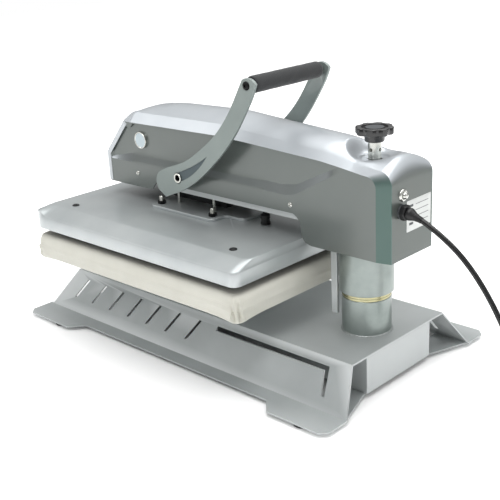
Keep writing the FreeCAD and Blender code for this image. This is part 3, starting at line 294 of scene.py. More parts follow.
@dataclass(frozen=True)
class GlowingPaper(Finish):
    """A paper sweep that glows as painted light, fading out where the machine's own shade falls in the middle."""

    def material(self) -> Material:
        """Scale the glow by the distance from the middle of the machine.

        Returns:
            The finish as a Blender material.
        """
        made = Finish.material(self)
        tree = made.node_tree
        shader = tree.nodes["Principled BSDF"]
        place = node(tree, "VectorMath", {0: node(tree, "TexCoord").outputs["Object"], 1: (0.8, 0.62, 0.0)},
                     operation="MULTIPLY")
        reach = node(tree, "VectorMath", {0: place.outputs[0]}, operation="LENGTH").outputs["Value"]
        glow = node(tree, "MapRange", {"Value": reach, "From Min": 0.16, "From Max": 0.42, "To Max": self.glow},
                    interpolation_type="SMOOTHSTEP")
        tree.links.new(glow.outputs[0], shader.inputs["Emission Strength"])
        return made


@dataclass(frozen=True)
class WovenCotton(Finish):
    """Plain-woven cotton: warp over weft threads on the piece's own UV map, laid out in metres."""

    thread_mm: float = 1.6

    def height(self, tree: bpy.types.NodeTree, place: Socket) -> Socket:
        """Two sets of threads at right angles, the higher one on top at each crossing.

        Args:
            tree: The material's node tree.
            place: Object coordinates; not used.

        Returns:
            The height output.
        """
        flat = node(tree, "UVMap", uv_map="laid_flat").outputs[0]
        pitch = per_metre(self.thread_mm) / 6.28
        sets = [node(tree, "TexWave", {"Vector": flat, "Scale": pitch, "Distortion": 1.2, "Detail": 2.0,
                                       "Detail Scale": 0.4}, bands_direction=way).outputs["Fac"] for way in "XY"]
        return node(tree, "Math", {0: sets[0], 1: sets[1]}, operation="MAXIMUM").outputs[0]


# Powder coat on folded steel sheet: polyester baked to a fine orange peel, silver with a dull sparkle and a painted
# highlight on sharp edges.
POWDER_COAT = Finish("silver_powder_coat", "#B3B8B8", "#A2A7A7", metallic=0.35, roughness=0.42, grain_mm=1.1,
                     grain_bump=0.12, edge="#CDD1D1")
# Sprayed metallic paint under clear lacquer: bright crown with soft reflections; the flanks get a darker painted
# shade.
SILVER_LACQUER = LacquerWithPaintedShade("silver_lacquer_over_primer", "#C6CBCF", "#B9BFC4", metallic=0.45, roughness=0.3,
                                rough_spread=0.03, grain_mm=0.8, grain_colour=0.12, grain_bump=0.02, coat=0.35)
# The same lacquer over the folded rear bands, with a green painted shade and painted reflection on their upright
# faces.
BAND_LACQUER = LacquerWithPaintedShade("silver_lacquer_green_shade_on_bands", "#C6CBCF", "#B9BFC4", metallic=0.45, roughness=0.3,
                              grain_mm=0.8, grain_colour=0.12, grain_bump=0.02, coat=0.35,
                              shade_tone_light="#4F6660", shade_tone_dark="#47605A")
# The same lacquer on the rear face, matt, with a slightly darker painted shade on its upright faces.
REAR_LACQUER = LacquerWithPaintedShade("silver_lacquer_on_rear", "#C6CBCF", "#B9BFC4", metallic=0.45, roughness=0.36,
                              grain_mm=0.8, grain_colour=0.12, grain_bump=0.02, coat=0.2,
                              shade_tone_light="#676B67", shade_tone_dark="#5B6461")
# Metallic paint on pressed sheet, over the heated platen, with a painted highlight on sharp edges.
PLATEN_PAINT = Finish("silver_paint_on_pressed_sheet", "#BBC0C0", "#ABB1B2", metallic=0.45, roughness=0.34,
                      grain_mm=1.0, grain_colour=0.15, grain_bump=0.04, coat=0.2, edge="#DDE0E2")
# Hammer-fine grey powder coat on the laser-cut lever plates, with a painted highlight on sharp edges.
LEVER_COAT = Finish("grey_powder_coat_on_plate", "#929B98", "#858F8C", metallic=0.35, roughness=0.45, grain_mm=0.9,
                    grain_colour=0.3, grain_bump=0.2, edge="#D5D9D8")
# Rolled steel tube, turned and painted clear.
COLUMN_PAINT = Finish("silver_paint_on_tube", "#A0A8A5", "#87918D", metallic=0.6, roughness=0.3, cloud_mm=40,
                      grain_mm=0.8, grain_colour=0.12, grain_bump=0.02)
MACHINED_BRASS = TurnedMetal("machined_brass", "#C4C0A0", "#A8A47F", metallic=1.0, roughness=0.26, grain_bump=0.3,
                             grain_mm=1.0, ring_mm=1.6)
TURNED_STEEL = TurnedMetal("turned_steel", "#B9BBBB", "#9FA2A2", metallic=1.0, roughness=0.28, grain_bump=0.2,
                           ring_mm=0.9)
# Bright zinc plating: a thin bluish-white skin, slightly cloudy.
ZINC_PLATE = Finish("bright_zinc_plate", "#D9DAD6", "#B9BAB2", metallic=1.0, roughness=0.24, grain_mm=1.5,
                    grain_bump=0.06)
BLACK_OXIDE = Finish("black_oxide_steel", "#1B1C1D", "#111213", metallic=0.7, roughness=0.45, grain_mm=0.8,
                     grain_bump=0.1)
# Dark paint on thin plates in the lever plates' windows: painted shade where the through slots show depth.
SLOT_SHADE_PAINT = Finish("painted_shade_in_slots", "#525E62", "#465256", metallic=0.3, roughness=0.4, grain_mm=0.9,
                     grain_bump=0.08)
# Cast aluminium under a dark non-stick coating.
COATED_ALUMINIUM = Finish("non_stick_coated_aluminium", "#2B2C2D", "#1E1F20", roughness=0.45, grain_mm=0.9,
                          grain_bump=0.12)
# Wire-brushed weld seam beside the tubes.
WELD_BEAD = Finish("brushed_weld", "#C4C8C7", "#868C8A", metallic=0.6, roughness=0.4, grain_mm=3.5,
                   grain_colour=0.8, grain_bump=0.3)
MOULDED_RUBBER = Finish("moulded_rubber", "#1A1A1B", "#0F0F10", roughness=0.72, grain_mm=0.7, grain_bump=0.3)
# Closed-cell foam tube: small open pores on its skin.
GRIP_FOAM = Finish("closed_cell_foam", "#2C2E30", "#1D1F20", roughness=0.88, grain_mm=1.3, grain_colour=0.7,
                   grain_bump=0.7, bump_mm=0.4, sheen=0.25)
# Phenolic knob: compression-moulded, glossy black.
PHENOLIC = Finish("moulded_phenolic", "#141516", "#0B0B0C", roughness=0.25, grain_mm=6.0, grain_colour=0.2,
                  grain_bump=0.02, coat=0.5)
BLACK_NYLON = Finish("moulded_nylon", "#161718", "#0C0D0D", roughness=0.42, grain_mm=0.8, grain_bump=0.15)
GREY_ABS = Finish("textured_abs", "#4A4D50", "#404346", roughness=0.5, grain_mm=0.9, grain_bump=0.3)
PALE_ABS = Finish("painted_abs_frame", "#D2D6D9", "#C5CACE", metallic=0.35, roughness=0.32, grain_mm=0.9,
                  grain_bump=0.03, coat=0.3)
LEAD_PVC = Finish("soft_pvc_sheath", "#121314", "#0A0B0B", roughness=0.27, grain_mm=1.4, grain_bump=0.12)
SMOKED_ACRYLIC = Finish("smoked_acrylic", "#101416", "#0A0D0F", roughness=0.08, rough_spread=0.01, grain_mm=8.0,
                        grain_colour=0.1, grain_bump=0.0, coat=0.6)
# Etched foil disc, with a near-white painted highlight on its sharp edges.
BADGE_DISC = Finish("etched_foil_disc", "#C3D0D5", "#AEBCC3", metallic=0.4, roughness=0.3, grain_mm=1.0,
                    grain_bump=0.05, edge="#F4F6F6")
FOIL_PLATE = Finish("brushed_foil_plate", "#DADCDA", "#C7CAC8", metallic=0.5, roughness=0.38, grain_mm=0.6,
                    grain_bump=0.1, stretch=(0.05, 1.0, 1.0))
DARK_PRINT = Finish("dark_print_on_foil", "#5D6163", "#4D5153", roughness=0.6, grain_mm=0.8)
SILICONE = Finish("silicone_foam", "#C46B4D", "#B15C40", roughness=0.7, grain_mm=1.0, grain_bump=0.3)
FIBRE_BOARD = Finish("mineral_fibre_board", "#D8D1C0", "#C6BEAA", roughness=0.85, grain_mm=1.6, grain_bump=0.4)
CIRCUIT_BOARD = Finish("glass_epoxy_board", "#1F5A36", "#17462A", roughness=0.4, grain_mm=2.5, grain_bump=0.1)
COTTON = WovenCotton("undyed_woven_cotton", "#D9D8CE", "#C9C8BD", roughness=0.9, grain_mm=1.6, grain_colour=0.35,
                     grain_bump=0.55, bump_mm=0.3, sheen=0.3)

# Bright matt paper sweep, with painted light glowing from it away from the machine.
WHITE_PAPER = GlowingPaper("glowing_white_paper", "#FFFFFF", "#FCFCFC", roughness=0.9, grain_bump=0.0, cloud_mm=2000,
                     glow=0.4)


# ---------------------------------------------------------------- surfaces from numpy grids


@dataclass
class Surface:
    """Grids of points gathered into one mesh: millimetres, y counted from the swing column."""

    blocks: list[Array] = field(default_factory=list)
    faces: list[list[int]] = field(default_factory=list)
    tones: list[int] = field(default_factory=list)
    flats: list[Array] = field(default_factory=list)
    count: int = 0

    def grid(self, points: Array, wrap: tuple[bool, bool] = (False, False), ends: tuple[bool, bool] = (False, False),
             tone: int | Array = 0, flat: Array | None = None) -> Surface:
        """Add a sheet of quads over a grid of points.

        Args:
            points: An array of rows by columns by three.
            wrap: Whether the rows and the columns close on themselves.
            ends: Whether the first and the last row are closed with one face each.
            tone: The material number, or one for each quad.
            flat: Rows by columns by two, the place of each point on the cloth laid flat, in mm.

        Returns:
            This surface.
        """
        rows, columns = points.shape[:2]
        index = np.arange(rows * columns).reshape(rows, columns) + self.count
        down = np.roll(index, -1, axis=0) if wrap[0] else index[1:]
        here = index if wrap[0] else index[:-1]
        left, right = (here, np.roll(here, -1, axis=1)) if wrap[1] else (here[:, :-1], here[:, 1:])
        low_left, low_right = (down, np.roll(down, -1, axis=1)) if wrap[1] else (down[:, :-1], down[:, 1:])
        quads = np.stack([left, right, low_right, low_left], axis=-1).reshape(-1, 4)
        self.faces += quads.tolist()
        self.tones += np.broadcast_to(tone, left.shape).ravel().astype(int).tolist()
        if ends[0]:
            self.faces.append(index[0, ::-1].tolist())
            self.tones.append(int(np.ravel(tone)[0]))
        if ends[1]:
            self.faces.append(index[-1].tolist())
            self.tones.append(int(np.ravel(tone)[-1]))
        self.blocks.append(points.reshape(-1, 3))
        self.flats.append(np.zeros((rows * columns, 2)) if flat is None else flat.reshape(-1, 2))
        self.count += rows * columns
        return self

    def mesh(self, name: str, outward: bool = True) -> bpy.types.Mesh:
        """Make the mesh: metres in the frame, doubles merged, faces turned outwards.

        Args:
            name: The mesh's name.
            outward: Recalculate the normals; an open sheet keeps the grid's own way round.

        Returns:
            The finished mesh.
        """
        points = (np.vstack(self.blocks) + [0, COLUMN_Y, 0]) * MM
        made = bpy.data.meshes.new(name)
        made.from_pydata(points.tolist(), [], self.faces)
        made.polygons.foreach_set("material_index", np.array(self.tones, dtype=np.int32))
        if any(np.any(block) for block in self.flats):
            corners = np.empty(len(made.loops), dtype=np.int32)
            made.loops.foreach_get("vertex_index", corners)
            layer = made.uv_layers.new(name="laid_flat")
            layer.data.foreach_set("uv", (np.vstack(self.flats)[corners] * MM).ravel())
        work = bmesh.new()
        work.from_mesh(made)
        bmesh.ops.remove_doubles(work, verts=work.verts, dist=2e-6)
        bmesh.ops.dissolve_degenerate(work, edges=work.edges, dist=1e-6)
        if outward:
            bmesh.ops.recalc_face_normals(work, faces=work.faces)
        work.to_mesh(made)
        work.free()
        made.update()
        return made


def spun(profile: Sequence[tuple[float, float]], centre: Sequence[float], axis: Axis = Axis.Z,
         steps: int = 72, ripple: Callable[[Array, Array, Array], Array] | None = None) -> Array:
    """A turned surface: each profile point (radius, height) goes round the axis in a circle.

    Args:
        profile: Radius and height along the axis for each ring.
        centre: The foot of the axis.
        axis: The direction that height is measured in.
        steps: Points round each ring.
        ripple: Changes the radius, given radius, height and angle arrays.

    Returns:
        Rows by steps by three points.
    """
    shape = np.asarray(profile, float)
    angle = np.linspace(0, 2 * math.pi, steps, endpoint=False)
    radius = np.broadcast_to(shape[:, :1], (len(shape), steps))
    height = np.broadcast_to(shape[:, 1:], (len(shape), steps))
    if ripple is not None:
        radius = ripple(radius, height, angle[None, :])
    along, first, second = (np.array(v, float) for v in axis.value)
    return (np.asarray(centre, float) + height[..., None] * along
            + (radius * np.cos(angle))[..., None] * first + (radius * np.sin(angle))[..., None] * second)


def eased(stations: Sequence[tuple[float, float]], at: Array, blur: float = 0.0) -> Array:
    """Straight runs between stations, with the corners rounded by averaging over +-blur.

    Args:
        stations: Pairs of place and value, in order.
        at: Where the value is wanted.
        blur: Half the width that is averaged over.

    Returns:
        One value for each place.
    """
    places, values = zip(*stations)
    shifts = np.linspace(-blur, blur, 9 if blur else 1)
    return np.mean([np.interp(at + shift, places, values) for shift in shifts], axis=0)


def rounded_loop(half_x: Array, half_y: Array, corner: Array, along: int = 24, round_steps: int = 10) -> Array:
    """Rounded rectangles about the origin, one for each row of sizes.

    Four quarter circles at the corners are joined by straight runs; every ring has the same number of
    points, so rings can be stacked.

    Args:
        half_x: Half widths, one for each ring.
        half_y: Half depths.
        corner: Corner radii.
        along: Points on each straight run.
        round_steps: Points on each quarter circle.

    Returns:
        Rings by points by two.
    """
    half_x, half_y, corner = (np.atleast_1d(np.asarray(v, float))[:, None] for v in (half_x, half_y, corner))
    pieces = []
    turn = np.linspace(0, math.pi / 2, round_steps)[None, :]
    run = np.linspace(0, 1, along + 2)[1:-1][None, :]
    signs = [(1, 1), (-1, 1), (-1, -1), (1, -1)]
    starts = [0, math.pi / 2, math.pi, 3 * math.pi / 2]
    for (sx, sy), start, (nx, ny), next_start in zip(signs, starts, signs[1:] + signs[:1], starts[1:] + starts[:1]):
        cx, cy = sx * (half_x - corner), sy * (half_y - corner)
        arc = np.stack([cx + corner * np.cos(start + turn), cy + corner * np.sin(start + turn)], axis=-1)
        ex, ey = nx * (half_x - corner), ny * (half_y - corner)
        last = arc[:, -1:, :]
        first = np.stack([ex + corner * np.cos(next_start), ey + corner * np.sin(next_start)], axis=-1)
        pieces += [arc, last + (first - last) * run[..., None]]
    return np.concatenate(pieces, axis=1)


# ---------------------------------------------------------------- pieces on the frame


def dress(piece: Piece, finishes: Finish | Sequence[Finish]) -> None:
    """Give a piece its materials in place of any that it has.

    Args:
        piece: The object to dress.
        finishes: One finish, or one for each tone of the mesh.
    """
    wanted = [finishes] if isinstance(finishes, Finish) else list(finishes)
    tones = np.empty(len(piece.data.polygons), dtype=np.int32)
    piece.data.polygons.foreach_get("material_index", tones)
    piece.data.materials.clear()
    for finish in wanted:
        piece.data.materials.append(finish.material())
    piece.data.polygons.foreach_set("material_index", tones)


def place_piece(name: str, mesh: bpy.types.Mesh, body: Body, finishes: Finish | Sequence[Finish],
                stands_for: Sequence[str] = (), bevel_mm: float = 0.0, bevel_steps: int = 2, wall_mm: float = 0.0,
                sharp_deg: float = 32.0, bevel_deg: float | None = None) -> Piece:
    """Put a mesh in the scene, finish its edges and walls, dress it, and let it ride on a body.

    Args:
        name: The piece's name.
        mesh: Its mesh, already in place.
        body: The body that it rides on.
        finishes: One finish, or one for each material number.
        stands_for: CAD nodes that it replaces.
        bevel_mm: Width of the rounding on sharp edges.
        bevel_steps: Segments across that rounding.
        wall_mm: Thickness given inwards to an open shell.
        sharp_deg: Edges that turn more than this stay crisp.
        bevel_deg: Edges that turn more than this are rounded; the same as sharp_deg if left out.

    Returns:
        The new object.
    """
    piece = bpy.data.objects.new(name, mesh)
    bpy.context.scene.collection.objects.link(piece)
    mesh.shade_smooth()
    mesh.set_sharp_from_angle(angle=math.radians(sharp_deg))
    if wall_mm:
        wall = piece.modifiers.new("wall", "SOLIDIFY")
        wall.thickness, wall.offset = wall_mm * MM, -1
    if bevel_mm:
        bevel = piece.modifiers.new("eased_edges", "BEVEL")
        bevel.width, bevel.segments = bevel_mm * MM, bevel_steps
        bevel.limit_method, bevel.angle_limit = "ANGLE", math.radians(bevel_deg or sharp_deg)
        even = piece.modifiers.new("even_normals", "WEIGHTED_NORMAL")
        even.keep_sharp, even.weight = True, 90
    dress(piece, finishes)
    if stands_for:
        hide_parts(*stands_for)
    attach(piece, body.value)
    LOG.info("%s on %s: %d faces", name, body.value, len(mesh.polygons))
    return piece


def eased_copy(frame: dict, source: str, name: str, body: Body, finish: Finish | Sequence[Finish],
               bevel_mm: float = 0.6, steps: int = 2) -> Piece:
    """Replace a CAD node by a merged copy of its mesh with small rounded edges.

    Args:
        frame: The loaded frame.
        source: The CAD node.
        name: The new piece's name.
        body: The body that it rides on.
        finish: The finish, or one for each material number.
        bevel_mm: Width of the rounding.
        steps: Segments across the rounding.

    Returns:
        The new object.
    """
    mesh = frame["nodes"][source].data.copy()
    mesh.name = name
    work = bmesh.new()
    work.from_mesh(mesh)
    bmesh.ops.remove_doubles(work, verts=work.verts, dist=1e-6)
    bmesh.ops.dissolve_limit(work, angle_limit=math.radians(0.5), verts=work.verts, edges=work.edges)
    work.to_mesh(mesh)
    work.free()
    return place_piece(name, mesh, body, finish, [source], bevel_mm, steps)


# ---------------------------------------------------------------- mains lead


@dataclass
class MainsLead:
    """The mains lead: a smooth line from the boot to the floor, wound into a coil behind the machine."""

    diameter_mm: float = 8.0
    length_m: float = 1.5
    coil_centre: tuple[float, float] = (-26.0, 372.0)
    coil_radius: float = 44.0
    turns: int = 4
    exit_point: tuple[float, float, float] = (28.0, 119.77, 283.38)
    run: tuple[tuple[float, float, float], ...] = (
        (26.5, 146, 270.5), (23, 190, 237), (19, 229, 186), (16, 262, 124), (15, 292, 60), (16, 327, 8))

    def turns_of_coil(self) -> Array:
        """Turns side by side and on each other: angle grows evenly, two radii and two layers take turns.

        Returns:
            Control points from where the run reaches the coil to the plug's boot.
        """
        per_turn = 14
        count = self.turns * per_turn
        step = np.arange(count + 1)
        angle = 2 * math.pi * step / per_turn
        lap = step / per_turn
        wide = self.diameter_mm / 2 + 0.1
        sideways = np.interp(lap, [0, 0.9, 1.1, 1.9, 2.1, 2.9, 3.1, 4], [1, 1, -1, -1, 1, 1, -1, -1])
        level = np.interp(lap, [0, 1.8, 2.2, 4], [4.2, 4.2, 11.9, 11.9])
        reach = (self.coil_radius + wide * sideways) / math.cos(math.pi / per_turn)
        return np.stack([self.coil_centre[0] + reach * np.cos(angle), self.coil_centre[1] + reach * np.sin(angle),
                         level], axis=-1)

    def build(self, frame: dict) -> None:
        points = np.vstack([[self.exit_point], self.run, self.turns_of_coil()])
        curve = bpy.data.curves.new("mains_lead", "CURVE")
        curve.dimensions = "3D"
        curve.bevel_depth = self.diameter_mm / 2 * MM
        curve.bevel_resolution, curve.resolution_u = 5, 12
        curve.use_fill_caps = True
        spline = curve.splines.new("NURBS")
        spline.points.add(len(points) - 1)
        placed = np.column_stack([(points + [0, COLUMN_Y, 0]) * MM, np.ones(len(points))])
        spline.points.foreach_set("co", placed.ravel())
        spline.order_u = 3
        spline.use_endpoint_u = True
        lead = bpy.data.objects.new("mains_lead", curve)
        bpy.context.scene.collection.objects.link(lead)
        curve.materials.append(LEAD_PVC.material())
        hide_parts("power_cord", "cord_coil")
        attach(lead, Body.ARM.value)
        boot = self.boot()
        plug = eased_copy(frame, "power_plug", "mains_plug", Body.ARM, LEAD_PVC, 0.5)

    def boot(self) -> Piece:
        """The tapered boot: a domed shoulder at the nut, a few shallow rings, then a slim neck.

        Returns:
            The boot.
        """
        drop = math.radians(16)
        along = np.array([0, math.cos(drop), -math.sin(drop)])
        start = np.array([28.0, 96.7, 290.0])
        t = np.linspace(0, 1, 49)
        radius = np.interp(t, [0, 0.08, 0.22, 0.38, 0.55, 0.8, 1], [9.0, 9.6, 9.3, 7.6, 6.0, 5.1, 4.7])
        radius = radius - np.where((t > 0.5) & (t < 0.95), 0.25 * (1 + np.cos(t * 60)), 0)
        angle = np.linspace(0, 2 * math.pi, 48, endpoint=False)
        across, up = np.array([1.0, 0, 0]), np.cross([1.0, 0, 0], along)
        points = (start + along * (t[:, None, None] * 24.0)
                  + radius[:, None, None] * (np.cos(angle)[:, None] * across + np.sin(angle)[:, None] * up))
        mesh = Surface().grid(points, (False, True), (True, True)).mesh("lead_boot")
        return place_piece("lead_boot", mesh, Body.ARM, BLACK_NYLON, ["strain_relief"])


# ---------------------------------------------------------------- arm


@dataclass
class ArmCover:
    """The arm's sheet cover: crowned top, bands that turn down at the rear, recessed flanks, slanted nose."""

    half: float = 58.0
    rear_half: float = 52.5
    band_inset: float = 13.0
    nose_y: float = -554.0
    rear_y: float = 84.7
    knee_z: float = 300.2
    turn_y: float = 44.0
    turn_radius: float = 17.0
    roll_start: float = 14.0
    roll_radius: float = 20.0
    dish_y: float = 17.0
    bore_radius: float = 10.6
    recess: float = 3.4

    def heights(self, y: Array) -> dict[str, Array]:
        """Where the flank's lines run: bottom, ledge, top edge, band and crown, for each y.

        Args:
            y: Stations along the arm, up to the flank's rear edge.

        Returns:
            Named heights, one for each station.
        """
        slope = self.knee_z + (y - self.nose_y) * (80.3 / 71.0)
        level = eased([(-554, 363.6), (-475, 363.6), (-264, 366.3), (-196, 363.2), (-41, 354.6), (7, 348.7),
                       (44, 343.3), (90, 343.3)], y, 10)
        past = np.clip(y - self.turn_y, 0, self.turn_radius)
        edge = level - (self.turn_radius - np.sqrt(self.turn_radius ** 2 - past ** 2))
        rise = eased([(-554, 16.8), (-257, 16.8), (-196, 13.8), (-51, 11), (20, 9.4), (44, 9), (90, 9)], y, 20)
        crown = eased([(-490, 0), (-470, 7.5), (-412, 14), (-320, 15.2), (-196, 16.5), (-33, 17.5), (17, 15.5),
                       (44, 13.5), (90, 12)], y, 14)
        bottom = eased([(-554, 245.1), (-440, 245.1), (-434, 248), (-429, 255), (-424, 260), (-418, 261.6),
                        (-99, 261.6), (-91, 257), (-86, 250), (-84, 243), (-82.5, 232), (-80, 223.5), (-75, 218),
                        (-64, 214.7), (90, 214.7)], y, 0.8)
        lower = eased([(-554, 289.4), (-113, 289.6), (-94, 293), (-43, 321.9), (4, 345), (90, 345)], y, 6)
        upper = eased([(-554, 289.6), (-541, 294.3), (-477, 308), (-178, 306.7), (-126, 304.9), (-91, 309.7),
                       (-19, 344.3), (-6, 350.5), (90, 350.5)], y, 5)
        depth = self.recess * np.interp(y, [-549, -543, -30, -4], [0, 1, 1, 0])
        strip = np.interp(y, [-483, -477], [9, 1.6])
        top = np.minimum(edge, slope)
        upper = np.minimum(upper, top - strip - 0.4)
        lower = np.minimum(lower, upper - 0.4)
        return {"slope": slope, "level": level, "rise": rise, "crown": crown, "bottom": bottom, "lower": lower,
                "upper": upper, "depth": depth, "strip": strip, "top": top}

    def flank(self, y: Array) -> Array:
        """One flank for each y, as columns from the bottom edge to the top edge.

        Args:
            y: Stations along the arm.

        Returns:
            Rows by columns by three points.
        """
        at = {k: v[:, None] for k, v in self.heights(y).items()}
        half = np.full_like(at["top"], self.half)
        sunk, lip = half - at["depth"], at["top"] - at["strip"]
        corners = [(half, at["bottom"]), (half, at["lower"]), (sunk, at["upper"]), (sunk, lip - 0.3), (half, lip),
                   (half, at["top"])]
        columns = []
        for (x0, z0), (x1, z1), count in zip(corners, corners[1:], (6, 4, 8, 1, 3)):
            t = np.linspace(0, 1, count, endpoint=False)[None, :]
            columns.append(np.stack([x0 + (x1 - x0) * t, np.broadcast_to(y[:, None], (len(y), count)),
                                     z0 + (z1 - z0) * t], axis=-1))
        columns.append(np.stack([half, y[:, None], at["top"]], axis=-1))
        return np.concatenate(columns, axis=1)

    def roof(self, y: Array, flank: Array) -> Array:
        """Bands and crowned top as rows across the arm, which turn down over the rear face.

        Along the top each row leans a little further back than the last; round the corner the outer line
        follows a small arc and the inner line a larger one; down the rear both run straight.

        Args:
            y: Stations along the arm.
            flank: The flank's points, whose top edge and rear edge the rows start from.

        Returns:
            Rows by columns by three points, from one flank's edge to the other's.
        """
        at = self.heights(y)
        turn = np.arcsin(np.clip((y - self.turn_y) / self.turn_radius, 0, 1))
        roll_y = self.rear_y - self.roll_radius
        inner_y = np.interp(y, [-600, self.roll_start, self.turn_y], [-600, self.roll_start, roll_y])
        inner_y = inner_y + self.roll_radius * np.sin(turn)
        inner_z = np.minimum(at["level"] + at["rise"], at["slope"]) - self.roll_radius * (1 - np.cos(turn))
        inner_x = np.interp(inner_y, [self.roll_start, roll_y, self.rear_y],
                            [self.half - self.band_inset, 50, self.rear_half])
        down = flank[-1, -2::-1]
        foot, corner = down[-1, 2], flank[-1, -1, 2]
        fall = foot + (down[:, 2] - foot) * (inner_z[-1] - foot) / (corner - foot)
        outer = np.concatenate([flank[:, -1], down])
        inner = np.stack([np.append(inner_x, np.full(len(down), self.rear_half)),
                          np.append(inner_y, np.full(len(down), self.rear_y)), np.append(inner_z, fall)], axis=-1)
        crown = np.append(at["crown"] * np.cos(turn), np.zeros(len(down)))[:, None]
        ceiling = np.append(at["slope"], np.full(len(down), 999.0))[:, None]
        t = np.linspace(0, 1, 4, endpoint=False)[None, :, None]
        band = outer[:, None] + (inner - outer)[:, None] * t
        t = np.linspace(1, 0, 28)[None, :]
        arch = np.minimum(inner[:, 2:] + crown * (1 - t ** 2), ceiling)
        middle = np.stack([inner[:, :1] * t, np.broadcast_to(inner[:, 1:2], arch.shape), arch], axis=-1)
        side = np.concatenate([band, middle], axis=1)
        return np.concatenate([side, side[:, -2::-1] * [-1, 1, 1]], axis=1)

    def sink_dish(self, roof: Array) -> Array:
        """Lower the crown softly round the knob, then by a shallow step, down to a flat floor.

        Args:
            roof: Rows by columns by three points of the bands and the crown.

        Returns:
            The same grid with the dish in it.
        """
        reach = np.hypot(roof[..., 0], roof[..., 1] - self.dish_y)
        soft = np.clip((46 - reach) / 22, 0, 1)
        soft = soft * soft * (3 - 2 * soft)
        step = np.clip((23.5 - reach) / 3.4, 0, 1)
        level = np.where(roof[..., 2] > 345, roof[..., 2] + (np.minimum(roof[..., 2], 356.8) - roof[..., 2]) * soft,
                         roof[..., 2])
        sunk = level - 2.8 * step * step * (3 - 2 * step)
        return np.concatenate([roof[..., :2], sunk[..., None]], axis=-1)

    def build(self) -> None:
        """Make the cover's shell with the dish and the bore that the knob stands in."""
        y = np.unique(np.concatenate([
            np.arange(self.nose_y, -470, 2.0), np.linspace(-470, -445, 8), np.arange(-444, -414, 1.2),
            np.linspace(-414, -104, 58), np.arange(-104, -60, 0.8), np.arange(-60, 44, 1.7),
            [self.turn_y], self.turn_y + self.turn_radius * np.sin(np.linspace(0.06, math.pi / 2, 16))]))
        flank = self.flank(y)
        roof = self.sink_dish(self.roof(y, flank))
        bore = np.hypot(roof[..., 0], roof[..., 1] - self.dish_y)
        near = (bore < self.bore_radius) & (roof[..., 2] > 340)
        ring = (bore < self.bore_radius + 1.9) & ~near & (roof[..., 2] > 340)
        drawn = (roof[..., :2] - [0, self.dish_y]) * (self.bore_radius / np.maximum(bore, 1))[..., None]
        roof[..., :2] = np.where(ring[..., None], drawn + [0, self.dish_y], roof[..., :2])
        # behind the turn, the bands take the green painted shade and reflection, and the rear face a darker painted
        # shade
        bands = np.abs(np.arange(roof.shape[1] - 1) - (roof.shape[1] - 2) / 2) > roof.shape[1] / 2 - 5.4
        behind = (np.arange(len(roof) - 1) >= np.searchsorted(y, self.turn_y))[:, None]
        tone = behind * np.where(bands, 1, 2)[None, :]
        surface = Surface().grid(roof, tone=tone)
        # the panel's window, and the bore under the knob, stay open
        open_front = (np.abs(roof[..., 0]) < 42) & (roof[..., 1] > -546) & (roof[..., 1] < -492)
        keep = ~(near | open_front).ravel()[np.array(surface.faces)].any(axis=1)
        surface.faces = np.array(surface.faces)[keep].tolist()
        surface.tones = np.array(surface.tones)[keep].tolist()
        surface.grid(flank).grid(flank * [-1, 1, 1])
        front = np.stack([np.concatenate([flank[0], roof[0, 1:-1], flank[0, ::-1] * [-1, 1, 1]])] * 2)
        front[1] = front[1] * [0, 1, 0] + [0, 0, 290]
        surface.grid(front)
        mesh = surface.mesh("arm_shell")
        self.face_outwards(mesh)
        place_piece("arm_shell", mesh, Body.ARM, [SILVER_LACQUER, BAND_LACQUER, REAR_LACQUER], ["arm_cover"],
                    bevel_mm=0.9, bevel_steps=3, wall_mm=2.5, sharp_deg=11.5, bevel_deg=24)

    @staticmethod
    def face_outwards(mesh: bpy.types.Mesh) -> None:
        """Flip the whole sheet if its faces look towards the arm's middle line.

        Args:
            mesh: The sheet to look at and turn.
        """
        count = len(mesh.polygons)
        normal, centre = np.empty(count * 3), np.empty(count * 3)
        mesh.polygons.foreach_get("normal", normal)
        mesh.polygons.foreach_get("center", centre)
        away = centre.reshape(-1, 3) - [0, 0.04, 0.3]
        if np.sum(normal.reshape(-1, 3)[:, [0, 2]] * away[:, [0, 2]]) < 0:
            mesh.flip_normals()


